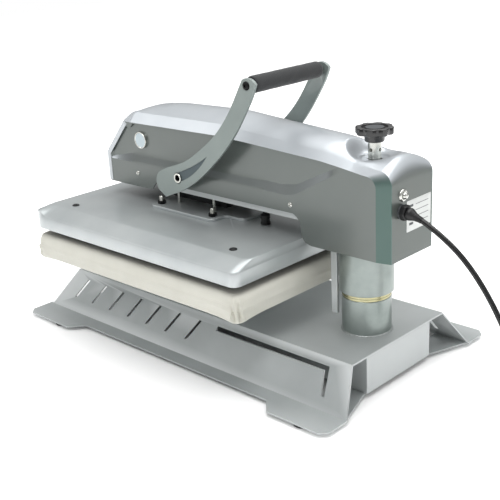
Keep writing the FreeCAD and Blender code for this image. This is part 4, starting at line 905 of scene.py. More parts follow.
@dataclass
class ArmDetails:
    """Fittings on the arm: beam, bezel, panel, switch, screws, badges, rear plate, gland and breaker."""

    screw_places: tuple[tuple[float, float], ...] = ((-473.0, 270.7), (-104.0, 274.9))
    badge_place: tuple[float, float] = (-458.4, 333.6)

    def build(self, frame: dict) -> None:
        """Make every fitting.
        """
        eased_copy(frame, "arm_beam", "arm_channel", Body.ARM, POWDER_COAT, 0.8)
        self.build_panel_frame()
        eased_copy(frame, "control_panel", "panel_plate", Body.ARM, GREY_ABS, 0.4)
        eased_copy(frame, "display_window", "display_pane", Body.ARM, SMOKED_ACRYLIC, 0.3)
        eased_copy(frame, "power_switch_body", "switch_frame", Body.ARM, BLACK_NYLON, 0.5)
        eased_copy(frame, "power_rocker", "switch_rocker", Body.ROCKER, BLACK_NYLON, 0.5)
        for source, body in (("button_down", Body.KEY_DOWN), ("button_mode", Body.KEY_MODE),
                             ("button_up_key", Body.KEY_UP)):
            eased_copy(frame, source, source + "_cap", body, BLACK_NYLON, 0.3)
        eased_copy(frame, "guide_block", "shaft_guide", Body.ARM, BLACK_OXIDE, 0.8)
        eased_copy(frame, "swing_stop_bar", "stop_bar", Body.ARM, POWDER_COAT, 0.6)
        self.build_screws()
        self.build_badges()
        self.build_rear_plate()
        self.build_gland()
        self.build_breaker()

    def build_panel_frame(self) -> None:
        """The pale frame over the nose: it follows the front and the slope, rounds the brow and folds back
        over both flanks, with openings for the panel and the switch."""
        corner = np.array([(-554.0, 246.0), (-554.0, 300.2), (-484.0, 379.37), (-478.0, 382.0)])
        step = np.diff(corner, axis=0)
        length = np.append(0, np.cumsum(np.hypot(*step.T)))
        knee, brow = length[1], length[2]
        marks = [259.8 - 246, 282.2 - 246, knee + 8.8, brow - 9.2]
        run = np.unique(np.concatenate([np.linspace(0, knee, 14), np.linspace(knee, brow, 24),
                                        np.linspace(brow, length[3], 5), marks]))
        blur = np.where(run > brow - 10, 3.0, 2.0)
        shifts = np.linspace(-1, 1, 9)[:, None]
        y, z = (np.mean(np.interp(run + shifts * blur, length, corner[:, k]), axis=0) for k in (0, 1))
        way = np.stack([np.gradient(y, run), np.gradient(z, run)], axis=-1)
        way /= np.linalg.norm(way, axis=1, keepdims=True)
        out = np.stack([-way[:, 1], way[:, 0]], axis=-1)
        half = np.interp(z, [363.6, 379.4, 382], [58.6, 46.8, 45.5])[:, None]
        inner = np.minimum(46.2, half - 3)
        across = np.concatenate([-half, -half, 0.6 - half, -inner, np.full_like(half, -15.2)], axis=1)
        across = np.concatenate([across, np.zeros_like(half), -across[:, ::-1]], axis=1)
        lift = np.array([-6.0, 2.6, 3.4, 3.4, 3.4, 3.4, 3.4, 3.4, 3.4, 2.6, -6.0])
        lift = lift * np.interp(run, [brow - 6, length[3]], [1, 0.1])[:, None]
        points = np.stack([across, y[:, None] + out[:, :1] * lift, z[:, None] + out[:, 1:] * lift], axis=-1)
        surface = Surface().grid(points)
        middle = ((run[1:] + run[:-1]) / 2)[:, None]
        column = np.arange(10)[None, :]
        panel = (middle > marks[2]) & (middle < marks[3]) & (column >= 3) & (column <= 6)
        switch = (middle > marks[0]) & (middle < marks[1]) & (column >= 4) & (column <= 5)
        keep = ~(panel | switch).ravel()
        surface.faces = np.array(surface.faces)[keep].tolist()
        surface.tones = np.array(surface.tones)[keep].tolist()
        mesh = surface.mesh("panel_frame")
        ArmCover.face_outwards(mesh)
        place_piece("panel_frame", mesh, Body.ARM, PALE_ABS, ["front_bezel"], bevel_mm=0.7, wall_mm=1.6,
                    sharp_deg=30)

    def build_gland(self) -> None:
        """The cable gland: a round foot on the rear face and a hexagonal nut with a domed edge."""
        x, y, z = 28.0, 84.7, 290.0
        surface = Surface()
        foot = [(0, 0.02), (11.0, 0.02), (11.2, 0.8), (11.0, 2.8), (9.6, 3.2), (0, 3.2)]
        surface.grid(spun(foot, (x, y, z), Axis.Y, 48), (False, True), tone=1)

        def six_sided(r: Array, h: Array, angle: Array) -> Array:
            """Outer rings become a hexagon, whose corners are turned off by a circle."""
            flat = np.mod(angle + math.pi / 6, math.pi / 3) - math.pi / 6
            return np.where(r > 8, np.minimum(r / np.cos(flat), r * 1.105), r)

        nut = [(0, 3.1), (10.0, 3.1), (11.0, 3.9), (11.0, 10.4), (10.2, 11.6), (9.2, 12.0), (0, 12.0)]
        surface.grid(spun(nut, (x, y, z), Axis.Y, 72, six_sided), (False, True), tone=0)
        place_piece("gland_nut", surface.mesh("gland_nut"), Body.ARM, [BLACK_NYLON, GREY_ABS], ["cable_gland"],
                    bevel_mm=0.3)

    def build_screws(self) -> None:
        """Pan-head screws: a domed ring profile with a socket sunk in its middle."""
        profile = [(0, 0.8), (1.5, 0.8), (1.55, 2.2), (2.9, 2.1), (3.9, 1.5), (4.4, 0.7), (4.5, 0.0),
                   (1.8, 0.0), (1.8, -3.9), (0, -3.9)]
        surface = Surface()
        for side in (-1, 1):
            for y, z in self.screw_places:
                shape = [(r, side * h) for r, h in profile]
                surface.grid(spun(shape, (side * 58.02, y, z), Axis.X, 36), (False, True))
        place_piece("cover_fasteners", surface.mesh("cover_fasteners"), Body.ARM, ZINC_PLATE, ["cover_screws"])

    def build_badges(self) -> None:
        """Plain round plates on the flanks: a flat disc inside a raised bright rim, foot in the recess."""
        profile = [(0, 0.7), (12.8, 0.7), (13.4, 1.15), (14.6, 1.2), (15.0, 0.7), (15.0, -4.6), (0, -4.6)]
        surface = Surface()
        for side in (-1, 1):
            shape = [(r, side * h) for r, h in profile]
            tone = np.array([0, 1, 1, 1, 1, 1])[:, None]
            surface.grid(spun(shape, (side * 57.8, *self.badge_place), Axis.X, 64), (False, True), tone=tone)
        place_piece("flank_badges", surface.mesh("flank_badges"), Body.ARM, [BADGE_DISC, ZINC_PLATE],
                    ["side_badges"])

    def build_rear_plate(self) -> None:
        """A blank data plate: foil with rounded corners and two ruled fields in dark print."""
        middle = np.array([-16.75, 84.7, 278.0])

        def slab(cx: float, cz: float, half_x: float, half_z: float, corner: float, low: float,
                 high: float) -> Array:
            """A thin rounded tile on the rear face, from low to high over it.

            Args:
                cx: The middle, across the plate.
                cz: The middle, up the plate.
                half_x: Half the width.
                half_z: Half the height.
                corner: The corners' radius.
                low: Where the tile starts over the face.
                high: Where the tile ends over the face.

            Returns:
                Rows by columns by three points.
            """
            sizes = np.array([0, 1, 1, 0.97, 0.0])
            loop = rounded_loop(half_x * sizes + 0.01, half_z * sizes + 0.01, corner * sizes + 0.005, 4, 6)
            depth = np.array([low, low, high - 0.15, high, high])[:, None]
            return np.stack([middle[0] + cx + loop[..., 0], np.broadcast_to(middle[1] + depth, loop.shape[:2]),
                             middle[2] + cz + loop[..., 1]], axis=-1)

        surface = Surface()
        surface.grid(slab(0, 0, 31.2, 24, 1.5, 0.02, 0.45), (False, True), tone=0)
        for row in range(4):
            surface.grid(slab(-8, 15 - row * 9.2, 17, 0.45, 0.3, 0.4, 0.52), (False, True), tone=1)
            surface.grid(slab(20, 15 - row * 9.2, 5.2, 1.9, 0.6, 0.4, 0.52), (False, True), tone=1)
        place_piece("data_plate", surface.mesh("data_plate"), Body.ARM, [FOIL_PLATE, DARK_PRINT], ["rear_label"])

    def build_breaker(self) -> None:
        """The reset breaker: a stepped zinc collar and a domed button that slides in it."""
        centre = (24.5, 84.7, 314.3)
        collar = [(5.9, -11.9), (5.9, 2.6), (6.4, 3.0), (7.6, 2.9), (8.8, 2.2), (9.5, 1.0), (9.6, 0.02),
                  (7.3, 0.02), (7.3, -11.9)]
        mesh = Surface().grid(spun(collar, centre, Axis.Y, 56), (True, True)).mesh("breaker_collar")
        place_piece("breaker_collar", mesh, Body.ARM, ZINC_PLATE, ["breaker_body"])
        t = np.linspace(0, math.pi / 2, 14)
        dome = np.stack([5.5 * np.sin(t), 3.4 + 5.5 * np.cos(t)], axis=-1)
        button = np.vstack([dome, [(5.5, -4.9), (0, -4.9)]])
        mesh = Surface().grid(spun(button, centre, Axis.Y, 48), (False, True)).mesh("breaker_cap")
        place_piece("breaker_cap", mesh, Body.BREAKER, ZINC_PLATE, ["breaker_button"])


# ---------------------------------------------------------------- column and base


@dataclass
class ColumnAndBase:
    """The folded base on its feet, and the tubes, ring and weld of the swing column."""

    tube_radius: float = 39.6
    sleeve_radius: float = 43.5

    def build(self, frame: dict) -> None:
        """Make the base's pieces and the column's.
        """
        eased_copy(frame, "base_shell", "folded_base", Body.BASE, POWDER_COAT, 0.7, 2)
        eased_copy(frame, "base_channel", "inner_channel", Body.BASE, POWDER_COAT, 1.2, 2)
        eased_copy(frame, "cross_straps", "base_straps", Body.BASE, POWDER_COAT, 0.6)
        eased_copy(frame, "platen_pedestal", "pedestal_tube", Body.BASE, POWDER_COAT, 1.5, 3)
        eased_copy(frame, "lower_platen_tray", "lower_tray", Body.BASE, POWDER_COAT, 1.0, 2)
        eased_copy(frame, "swing_stop_peg", "stop_peg", Body.BASE, ZINC_PLATE, 0.6)
        self.build_feet()
        self.build_column()

    def build_feet(self) -> None:
        """Rubber feet: a slightly barrelled disc with a rolled lower edge."""
        profile = [(0, 5.98), (12.2, 5.98), (12.8, 5.4), (13.0, 3.5), (12.6, 1.0), (11.6, 0.0), (4.5, 0.0),
                   (4.0, 1.6), (0, 1.6)]
        surface = Surface()
        for x in (-204, 204):
            for y in (-556, 34):
                surface.grid(spun(profile, (x, y, 0), Axis.Z, 48), (False, True))
        place_piece("moulded_feet", surface.mesh("moulded_feet"), Body.BASE, MOULDED_RUBBER, ["rubber_feet"])

    def build_column(self) -> None:
        """Tubes as closed ring profiles, with a beaded weld at the foot."""
        outer, bore = self.tube_radius, 34.0
        lower = [(bore, 73), (bore, 131.4), (bore + 0.6, 132), (outer - 0.8, 132), (outer, 131.2), (outer, 73)]
        mesh = Surface().grid(spun(lower, (0, 0, 0), Axis.Z, 128), (True, True)).mesh("lower_tube")
        place_piece("lower_tube", mesh, Body.BASE, COLUMN_PAINT, ["column_lower"])
        ring = [(31, 132), (31, 141), (38.4, 141), (39.2, 140.3), (39.2, 137.2), (38.7, 136.8), (38.7, 136.2),
                (39.2, 135.8), (39.2, 132.6), (38.6, 132)]
        mesh = Surface().grid(spun(ring, (0, 0, 0), Axis.Z, 128), (True, True)).mesh("bearing_ring")
        place_piece("bearing_ring", mesh, Body.BASE, MACHINED_BRASS, ["thrust_ring"])
        outer = self.sleeve_radius
        sleeve = [(36, 141.3), (36, 240), (36, 296), (8.1, 296), (8.1, 322), (outer - 0.6, 322), (outer, 321.4),
                  (outer, 142.3), (outer - 1, 141.3)]
        mesh = Surface().grid(spun(sleeve, (0, 0, 0), Axis.Z, 128), (True, True)).mesh("swing_sleeve")
        place_piece("swing_sleeve", mesh, Body.ARM, COLUMN_PAINT, ["column_sleeve"])

        def beads(radius: Array, height: Array, angle: Array) -> Array:
            """Overlapping puddles along the weld: the radius swells about every six millimetres."""
            puddles = np.abs(np.sin(angle * 21 + np.sin(angle * 5) * 0.6))
            return radius + np.where(radius > 39.7, 0.6 * puddles - 0.2, 0.0)

        weld = [(39.3, 72.9), (41.4, 72.9), (41.3, 73.4), (40.8, 74.3), (40.2, 75.0), (39.5, 75.5)]
        grid = spun(weld, (0, 0, 0), Axis.Z, 288, beads)
        place_piece("column_weld", Surface().grid(grid, (True, True)).mesh("column_weld"), Body.BASE, WELD_BEAD)


# ---------------------------------------------------------------- platens


@dataclass
class HeatedPlaten:
    """The heated platen: pressed lid, bracket, studs, guides and its lead."""

    half_x: float = 205.4
    half_y: float = 255.0
    middle_y: float = -343.0
    bottom_z: float = 183.9
    side_z: float = 208.0
    top_z: float = 220.3
    bevel: float = 33.0
    corner: float = 14.0

    def build(self, frame: dict) -> None:
        """Make the lid and everything that stands on it.
        """
        self.build_lid()
        eased_copy(frame, "mount_bracket", "bracket_plate", Body.PLATEN, PLATEN_PAINT, 0.8)
        eased_copy(frame, "guide_pins", "guide_posts", Body.PLATEN, ZINC_PLATE, 0.4)
        self.build_studs()
        self.build_lead()
        self.build_caps()
        eased_copy(frame, "heat_platen", "heating_plate", Body.PLATEN, COATED_ALUMINIUM, 0.8)

    def build_lid(self) -> None:
        """Rings of rounded rectangles: lip, upright side, rolled edge, wide bevels, then the flat top."""
        x, y, c = self.half_x, self.half_y, self.corner
        rings = [  # half x, half y, corner, z
            (x - 3.0, y - 3.0, c - 3, self.side_z - 4), (x - 3.0, y - 3.0, c - 3, self.bottom_z),
            (x - 2.2, y - 2.2, c - 2, self.bottom_z - 0.0), (x - 0.4, y - 0.4, c, self.bottom_z + 0.3),
            (x, y, c, self.bottom_z + 1.2), (x, y, c, self.side_z - 1.6), (x - 0.5, y - 0.3, c, self.side_z - 0.3),
            (x - 1.8, y - 0.8, c, self.side_z + 0.6), (x - self.bevel * 0.5, y - 1.3, c, self.side_z + 6.6),
            (x - self.bevel + 2.4, y - 1.9, c, self.top_z - 0.7), (x - self.bevel - 2, y - 2.6, c, self.top_z - 0.1),
            (x - self.bevel - 8, y - 9, c, self.top_z), (x - 90, y - 80, c, self.top_z), (20, 60, 10, self.top_z),
            (0.5, 30, 0.3, self.top_z)]
        size = np.array(rings)
        loop = rounded_loop(size[:, 0], size[:, 1], size[:, 2], 90, 12)
        height = np.broadcast_to(size[:, 3:], loop.shape[:2])
        rise = np.clip((self.half_y - 12 + loop[..., 1]) / 18, 0, 1)
        rise = 1 - rise * rise * (3 - 2 * rise)
        tall = np.where(height > self.side_z - 2, self.top_z - (self.top_z - height) * 0.28, height)
        points = np.stack([loop[..., 0], loop[..., 1] + self.middle_y, height + (tall - height) * rise], axis=-1)
        mesh = Surface().grid(points, (False, True), (False, True)).mesh("platen_lid", outward=False)
        centre_up = mesh.polygons[-1].normal.z
        if centre_up < 0:
            mesh.flip_normals()
        place_piece("platen_lid", mesh, Body.PLATEN, PLATEN_PAINT, ["upper_platen_cover"], wall_mm=1.5,
                    sharp_deg=38)

    def build_studs(self) -> None:
        """Studs with nuts: threads are a ripple of the radius every 1.25 mm."""
        surface = Surface()
        turned = np.linspace(math.pi / 6, 2 * math.pi + math.pi / 6, 6, endpoint=False)
        for x in (-62, 62):
            for y in (-65, 65):
                spot = (x, self.middle_y + y, 0)
                z = np.arange(225.3, 239.3, 0.31)
                thread = np.stack([4.1 + 0.2 * np.cos(2 * math.pi * z / 1.25), z], axis=-1)
                profile = np.vstack([[(0, 220.4), (4.1, 220.4)], thread, [(3.4, 239.9), (0, 239.95)]])
                surface.grid(spun(profile, spot, Axis.Z, 32), (False, True), tone=0)
                hexes = np.array([(4.1, 225.4), (7.1, 225.4), (7.5, 225.9), (7.5, 230.9), (6.9, 231.3), (4.1, 231.3)])
                ring = np.stack([x + hexes[:, :1] * np.cos(turned), spot[1] + hexes[:, :1] * np.sin(turned),
                                 np.broadcast_to(hexes[:, 1:], (6, 6))], axis=-1)
                surface.grid(ring, (True, True), tone=1)
        place_piece("threaded_studs", surface.mesh("threaded_studs"), Body.PLATEN, [ZINC_PLATE, BLACK_OXIDE],
                    ["bracket_studs"], bevel_mm=0.2)

    def build_lead(self) -> None:
        """The heater's lead: a ridged gland and a corrugated conduit going up into the arm."""
        z = np.arange(238, 299.9, 0.7)
        conduit = np.stack([4.1 + 0.4 * np.cos(2 * math.pi * z / 2.8), z], axis=-1)
        gland = [(0, 220.4), (8.5, 220.4), (8.5, 224), (7.4, 224.4), (7.2, 231), (8.2, 231.4), (8.0, 236.4),
                 (6.4, 238)]
        profile = np.vstack([gland, conduit, [(0, 299.95)]])
        mesh = Surface().grid(spun(profile, (30, -185, 0), Axis.Z, 36), (False, True)).mesh("heater_conduit")
        place_piece("heater_conduit", mesh, Body.PLATEN, BLACK_NYLON, ["heater_lead"])

    def build_caps(self) -> None:
        """Low black caps over the lid's four screws, with a dimple in the middle."""
        surface = Surface()
        profile = [(0, 1.1), (1.8, 1.1), (2.6, 1.7), (4.8, 1.9), (6.0, 1.4), (6.5, 0.5), (6.5, 0.02), (0, 0.02)]
        for x in (-1, 1):
            for y in (-1, 1):
                spot = (x * (self.half_x - 53.6), self.middle_y + y * (self.half_y - 53.6), self.top_z)
                surface.grid(spun(profile, spot, Axis.Z, 40), (False, True))
        place_piece("lid_caps", surface.mesh("lid_caps"), Body.PLATEN, BLACK_NYLON, ["screw_caps"])


@dataclass
class ClothCover:
    """The lower platen's cotton cover: a tight sock with an elastic hem, gathered at its corners."""

    half_x: float = 206.0
    half_y: float = 257.0
    middle_y: float = -343.0
    bottom_z: float = 129.0
    top_z: float = 171.5

    def build(self) -> None:
        """Make the sheet as stacked rings with creases, and lay it out flat in its UV map."""
        drop = np.array([0.0, 0.1, 0.2, 0.3, 0.38, 0.46, 0.52, 0.58, 0.64, 0.72, 0.82, 0.9, 1.0])
        # rings from the tucked hem, up the side and over the edge, to the middle of the top
        profile = [(-14, 0.0, 0), (-6, -0.2, 0), (-1.5, 0.2, 0), (0, 2.5, 0)]
        profile += [(0.7 * math.sin(math.pi * t) + 1.5 * math.exp(-((t - 0.55) / 0.1) ** 2), 2.5 + 30.0 * t, 0)
                    for t in drop[1:]]
        profile += [(-1.3, 37.0, 0), (-3.4, 39.9, 0), (-6.6, 41.6, 0), (-10.5, 42.3, 0), (-20, 42.5, 0)]
        profile += [(-20 - 186 * t, 42.5, t) for t in np.linspace(0.08, 0.985, 22)]
        shape = np.array(profile)
        inset, height = shape[:, 0], shape[:, 1]
        half_x = np.maximum(self.half_x + inset, 0.6)
        half_y = np.maximum(self.half_y + inset, 52.0)
        corner = np.clip(15 + inset * 0.4, 0.5, 15)
        loop = rounded_loop(half_x, half_y, corner, 64, 22)
        count = loop.shape[1]
        x, y = loop[..., 0], loop[..., 1]
        z = np.broadcast_to(height[:, None], x.shape) + self.bottom_z
        side = np.clip(np.minimum(height[:, None], 42.5 - height[:, None]) / 6, 0, 1)
        side = np.where(shape[:, :1] < -20, 0, side)
        step = np.arange(count)[None, :] * (1.0 / count)
        outward = np.stack([x, y], axis=-1)
        core = np.stack([np.clip(x, -self.half_x + 22, self.half_x - 22),
                         np.clip(y, -self.half_y + 22, self.half_y - 22)], axis=-1)
        outward = outward - core
        length = np.maximum(np.linalg.norm(outward, axis=-1, keepdims=True), 1e-6)
        outward = outward / length
        near_corner = np.clip(1 - np.hypot(np.abs(x) - self.half_x, np.abs(y) - self.half_y) / 70, 0, 1)
        low = np.clip(1.25 - height[:, None] / 34, 0.15, 1)
        fold = np.sin(step * 2 * math.pi * 96 + height[:, None] * 0.09 + 1.4 * np.sin(step * 2 * math.pi * 31))
        gathers = near_corner ** 1.3 * low * (1.5 - 3.4 * np.abs(fold))
        drape = 0.6 * np.sin(step * 2 * math.pi * 19 + np.sin(height[:, None] * 0.12)) \
            + 0.4 * np.sin(step * 2 * math.pi * 43 + 1.3)
        pocket = 4.0 * near_corner ** 2 * low * np.sin(step * 2 * math.pi * 37 + height[:, None] * 0.13)
        pull = (drape + gathers + pocket) * side
        z = z - 5.0 * near_corner ** 2 * np.clip(1 - height[:, None] / 16, 0, 1)
        points = np.stack([x + outward[..., 0] * pull, y + outward[..., 1] * pull + self.middle_y,
                           z + self.top_waves(x, y, shape[:, 2][:, None])], axis=-1)
        reach = np.concatenate([[0], np.cumsum(np.hypot(np.diff(inset), np.diff(height)))])
        flat = np.stack([x, y], axis=-1)
        extra = (reach[18] - reach)[:, None].clip(0)
        flat = flat + outward * extra[..., None]
        surface = Surface().grid(points, (False, True), flat=flat)
        mesh = surface.mesh("cotton_sock", outward=False)
        if mesh.polygons[-1].normal.z < 0:
            mesh.flip_normals()
        piece = place_piece("cotton_sock", mesh, Body.BASE, COTTON, ["platen_cloth_cover"], sharp_deg=80)
        self.area(mesh)

    def top_waves(self, x: Array, y: Array, inner: Array) -> Array:
        """Slack in the top: faint long waves that die out at the edge."""
        fade = np.clip(inner * 6, 0, 1)
        return -fade * (0.25 + 0.22 * np.sin(x / 31 + y / 57) + 0.18 * np.sin(x / 17 - y / 43))

    @staticmethod
    def area(mesh: bpy.types.Mesh) -> float:
        """The sheet's own area in square metres.

        Args:
            mesh: The finished sheet.

        Returns:
            The sum of its faces' areas.
        """
        areas = np.empty(len(mesh.polygons))
        mesh.polygons.foreach_get("area", areas)
        return float(areas.sum())


# ---------------------------------------------------------------- lever and knob


@dataclass
class Lever:
    """The lever: two swept plates, hexagon-socket pivots and a foam grip on a rod."""

    pivot: tuple[float, float] = (-329.1, 290.9)
    grip: tuple[float, float] = (-156.3, 462.3)

    def build(self, frame: dict) -> None:
        """Make the plates, grip, pivot ends and screws.
        """
        eased_copy(frame, "handle_plate_right", "lever_plate_right", Body.HANDLE, LEVER_COAT, 0.7, 3)
        eased_copy(frame, "handle_plate_left", "lever_plate_left", Body.HANDLE, LEVER_COAT, 0.7, 3)
        eased_copy(frame, "pivot_spacers", "pivot_collars", Body.HANDLE, TURNED_STEEL, 0.8)
        self.build_slot_shade_plates()
        self.build_grip()
        self.build_pivot()
        self.build_grip_screws()

    def build_slot_shade_plates(self) -> None:
        """Dark plates set in the levers' comet-shaped windows as painted shade, between two arcs through three
        points.
        """
        pivot, tip = np.array(self.pivot), np.array([-254.7, 337.6])

        def arc(start: Array, middle: Array, end: Array) -> Array:
            """Points on the circle through three points, from the first to the last.

            Args:
                start: The first point.
                middle: A point between them.
                end: The last point.

            Returns:
                Thirty points.
            """
            (ax, ay), (bx, by) = middle - start, end - start
            twice = 2 * (ax * by - ay * bx)
            centre = start + np.array([by * (ax ** 2 + ay ** 2) - ay * (bx ** 2 + by ** 2),
                                       ax * (bx ** 2 + by ** 2) - bx * (ax ** 2 + ay ** 2)]) / twice
            turns = np.unwrap(np.arctan2(*(np.stack([start, middle, end]) - centre).T[::-1]))
            angle = np.linspace(turns[0], turns[2], 30)
            radius = np.linalg.norm(start - centre)
            return centre + radius * np.stack([np.cos(angle), np.sin(angle)], axis=-1)

        upper = arc(pivot + [-1, 8.9], pivot + [38, 25.4], tip)
        lower = arc(pivot + [7, -4.9], pivot + [43, 15.6], tip)
        surface = Surface()
        for side in (-1, 1):
            ring = [np.column_stack([np.full(30, side * x), line]) for x, line in
                    ((88.2, upper), (88.2, lower), (85.2, lower), (85.2, upper))]
            surface.grid(np.stack(ring, axis=1), (False, True), (True, True))
        place_piece("slot_shade_plates", surface.mesh("slot_shade_plates"), Body.HANDLE, SLOT_SHADE_PAINT)

    def build_grip(self) -> None:
        """A foam tube: rounded ends, and a radius that wanders by a fraction of a millimetre."""
        x = np.concatenate([[-79.0, -79.0, -78.6, -77.2, -75.0], np.linspace(-72, 72, 60),
                            [75.0, 77.2, 78.6, 79.0, 79.0]])
        radius = np.concatenate([[8.0, 10.8, 12.2, 13.1, 13.4], np.full(60, 13.5), [13.4, 13.1, 12.2, 10.8, 8.0]])

        def hand_worn(r: Array, h: Array, angle: Array) -> Array:
            """Slight flats and hollows where hands have pressed the foam."""
            wear_and_highlight = 0.14 * np.sin(h / 13 + 2 * np.sin(angle)) + 0.1 * np.sin(h / 6.1 + 3 * angle)
            return r - np.where(r > 13, np.abs(wear_and_highlight), 0)

        grid = spun(np.stack([radius, x], axis=-1), (0, *self.grip), Axis.X, 72, hand_worn)
        place_piece("foam_grip", Surface().grid(grid, (True, True)).mesh("foam_grip"), Body.HANDLE, GRIP_FOAM,
                    ["grip_sleeve"])

    def build_pivot(self) -> None:
        """The pivot shaft: a rod whose ends hold bright rims round black hexagon sockets."""
        surface = Surface()
        body = [(0, -80), (9, -80), (9, 80), (0, 80)]
        surface.grid(spun(body, (0, *self.pivot), Axis.X, 48), (False, True), tone=0)
        for side in (-1, 1):
            rim = [(8.6, side * 80), (8.6, side * 90.3), (8.1, side * 91.0), (5.9, side * 91.0), (5.5, side * 90.6),
                   (5.2, side * 84.5), (0, side * 84.5)]

            def socket(r: Array, h: Array, angle: Array) -> Array:
                """Inner rings become a hexagon: radius over the cosine of the angle to the flat's middle."""
                flat = np.mod(angle + math.pi / 6, math.pi / 3) - math.pi / 6
                return np.where(r < 5.4, r * 0.88 / np.cos(flat), r)

            tone = np.array([1, 1, 1, 1, 0, 0])[:, None]
            surface.grid(spun(rim, (0, *self.pivot), Axis.X, 72, socket), (False, True), tone=tone)
        place_piece("pivot_pin", surface.mesh("pivot_pin"), Body.HANDLE, [BLACK_OXIDE, ZINC_PLATE], ["pivot_shaft"])

    def build_grip_screws(self) -> None:
        """Button-head screws at the grip's ends, with a sunk socket."""
        surface = Surface()
        for side in (-1, 1):
            head = [(0, 1.4), (2.4, 1.4), (2.5, 2.95), (4.0, 2.8), (5.8, 2.0), (6.8, 0.9), (7.0, 0.0), (3.4, 0.0),
                    (3.4, -29.0), (0, -29.5)]
            shape = [(r, side * (90.02 + h)) for r, h in head]
            surface.grid(spun(shape, (0, *self.grip), Axis.X, 40), (False, True))
        place_piece("grip_bolts", surface.mesh("grip_bolts"), Body.HANDLE, BLACK_OXIDE, ["grip_screws"])


@dataclass
class PressureKnob:
    """The pressure knob: an eight-lobed phenolic wheel on a drilled steel collar."""

    centre: tuple[float, float] = (0.0, 17.0)
    lobes: int = 8

    def build(self) -> None:
        """Make the wheel and its collar."""

        def lobed(r: Array, h: Array, angle: Array) -> Array:
            """Shallow scallops cut straight down the rim: each lies on a circle outside the wheel.

            Args:
                r: Radius of each point.
                h: Height of each point; not used.
                angle: Angle of each point.

            Returns:
                The new radius.
            """
            turn = np.mod(angle + math.pi / self.lobes, 2 * math.pi / self.lobes) - math.pi / self.lobes
            bite = np.clip(1 - np.abs(turn) / 0.26, 0, 1)
            return r - 2.9 * (1 - (1 - bite) ** 2) * np.clip((r - 24) / 3, 0, 1)

        profile = [(0, 402.2), (4, 402.3), (14.2, 402.5), (14.6, 401.2), (15.4, 400.2), (18.6, 400.2), (19.6, 401.4),
                   (20.2, 402.9), (21.2, 403.4), (27.3, 403.4), (28.5, 402.9), (29.0, 401.9), (29.0, 394.4),
                   (28.4, 392.9), (27.0, 392.1), (17.5, 391.9), (16.4, 391.0), (16.0, 389.6), (14.8, 381.9),
                   (14.1, 381.0), (0, 381.0)]
        grid = spun(profile, (*self.centre, 0), Axis.Z, 240, lobed)
        tone = np.array([2, 2, 1, 1, 1, 1, 1] + [0] * 13)[:, None]
        mesh = Surface().grid(grid, (False, True), tone=tone).mesh("lobed_wheel")
        place_piece("lobed_wheel", mesh, Body.KNOB, [PHENOLIC, MOULDED_RUBBER, GREY_ABS], ["pressure_knob"],
                    sharp_deg=26)

        def drilled(r: Array, h: Array, angle: Array) -> Array:
            """Four tommy-bar holes: the wall is sunk by 5 mm inside small circles on the collar.

            Args:
                r: Radius of each point.
                h: Height of each point.
                angle: Angle of each point.

            Returns:
                The new radius.
            """
            gap = np.abs(np.mod(angle + math.pi / 4, math.pi / 2) - math.pi / 4) * 10
            hole = np.clip((2.5 - np.hypot(gap, h - 369)) / 0.5, 0, 1)
            return r - np.where(r > 9.0, 5 * hole, 0)

        z = np.linspace(354.8, 380.2, 54)
        collar = np.vstack([[(0, 354.1), (9.2, 354.1)], np.stack([np.full(54, 10.0), z], axis=-1),
                            [(9.2, 380.95), (0, 380.95)]])
        grid = spun(collar, (*self.centre, 0), Axis.Z, 144, drilled)
        place_piece("drilled_collar", Surface().grid(grid, (False, True)).mesh("drilled_collar"), Body.KNOB,
                    ZINC_PLATE, ["knob_collar"])


# ---------------------------------------------------------------- studio


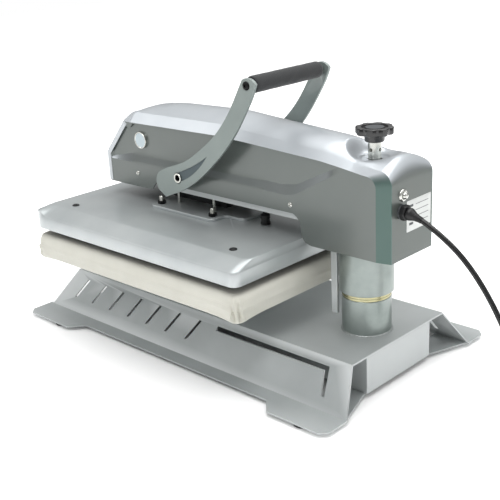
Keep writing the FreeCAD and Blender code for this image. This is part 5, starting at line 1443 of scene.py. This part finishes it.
@dataclass
class Studio:
    """Camera, white floor and soft light."""

    eye: tuple[float, float, float] = (1.11472, 1.11424, 0.71378)
    target: tuple[float, float, float] = (0.02744, 0.04689, 0.16434)
    lens_mm: float = 67.99
    roll_deg: float = -2.97

    def build_camera(self) -> None:
        """Aim the camera, rolled a little about its own line of sight."""
        back = (Vector(self.eye) - Vector(self.target)).normalized()
        right = (-back).cross(Vector((0, 0, 1))).normalized()
        up = right.cross(-back)
        roll = math.radians(self.roll_deg)
        side = right * math.cos(roll) + up * math.sin(roll)
        top = -right * math.sin(roll) + up * math.cos(roll)
        camera = bpy.data.objects.new("camera", bpy.data.cameras.new("camera"))
        camera.data.lens, camera.data.sensor_width = self.lens_mm, 36
        camera.data.clip_end = 50
        camera.matrix_world = Matrix.Translation(self.eye) @ Matrix((side, top, back)).transposed().to_4x4()
        bpy.context.scene.collection.objects.link(camera)
        bpy.context.scene.camera = camera

    def build_light(self) -> None:
        """A large soft box overhead, a weaker one behind the machine, and a pale surround."""
        for name, spot, aim, size, power in (
                ("overhead", (-0.5, 0.2, 2.4), (0, 0, 0.2), 2.2, 40),
                ("rear_fill", (-0.6, 2.4, 1.5), (0, 0.1, 0.2), 1.6, 5),
                ("side_soft_box", (1.5, -2.3, 1.9), (0, 0, 0.15), 1.3, 9),
                ("slope_fill", (1.1, 0.4, 2.3), (0.2, 0.0, 0.0), 0.8, 10)):
            data = bpy.data.lights.new(name, "AREA")
            data.energy, data.size = power, size
            light = bpy.data.objects.new(name, data)
            light.location = spot
            light.rotation_euler = (Vector(spot) - Vector(aim)).to_track_quat("Z", "Y").to_euler()
            bpy.context.scene.collection.objects.link(light)
        world = bpy.data.worlds.new("surround")
        world.use_nodes = True
        tree = world.node_tree
        tree.nodes.clear()
        sky = node(tree, "TexCoord").outputs["Generated"]
        tall = node(tree, "SeparateXYZ", {0: sky}).outputs[2]
        ramp = node(tree, "MapRange", {"Value": tall, "From Min": -0.1, "From Max": 0.9, "To Min": 0.16,
                                       "To Max": 0.85})
        soft = node(tree, "Background", {"Color": (1, 1, 1, 1), "Strength": ramp.outputs[0]})
        plain = node(tree, "Background", {"Color": (1, 1, 1, 1), "Strength": 1.0})
        seen = node(tree, "LightPath").outputs["Is Camera Ray"]
        mixed = node(tree, "MixShader", {0: seen, 1: soft.outputs[0], 2: plain.outputs[0]})
        node(tree, "OutputWorld", {"Surface": mixed.outputs[0]})
        bpy.context.scene.world = world
        bpy.context.scene.view_settings.view_transform = "Standard"

    def build_floor(self) -> None:
        """A wide white sheet of paper under the machine."""
        surface = Surface().grid(np.array([[[-6e3, -6e3, -0.2], [6e3, -6e3, -0.2]],
                                           [[-6e3, 6e3, -0.2], [6e3, 6e3, -0.2]]]))
        mesh = surface.mesh("paper_floor", outward=False)
        floor = bpy.data.objects.new("paper_floor", mesh)
        bpy.context.scene.collection.objects.link(floor)
        dress(floor, WHITE_PAPER)


PLAIN_NODES = {
    "silicone_pad": SILICONE, "heater_pad": BLACK_OXIDE, "insulation_board": FIBRE_BOARD,
    "controller_board": CIRCUIT_BOARD, "press_shaft": TURNED_STEEL, "press_cam": TURNED_STEEL,
    "guide_plate": BLACK_OXIDE, "lift_springs": TURNED_STEEL, "pivot_spindle": TURNED_STEEL,
    "spindle_bushes": MACHINED_BRASS, "grip_rod": TURNED_STEEL, "pressure_screw": TURNED_STEEL,
}


def main() -> None:
    """Build the press in order: camera and lead first, then each sub-assembly."""
    logging.basicConfig(level=logging.INFO, format="%(name)s: %(message)s")
    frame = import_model()
    studio = Studio()
    studio.build_camera()
    MainsLead().build(frame)
    studio.build_light()
    studio.build_floor()
    ColumnAndBase().build(frame)
    ClothCover().build()
    HeatedPlaten().build(frame)
    ArmCover().build()
    ArmDetails().build(frame)
    Lever().build(frame)
    PressureKnob().build()
    for name, finish in PLAIN_NODES.items():
        dress(frame["nodes"][name], finish)


if __name__ == "__main__":
    main()
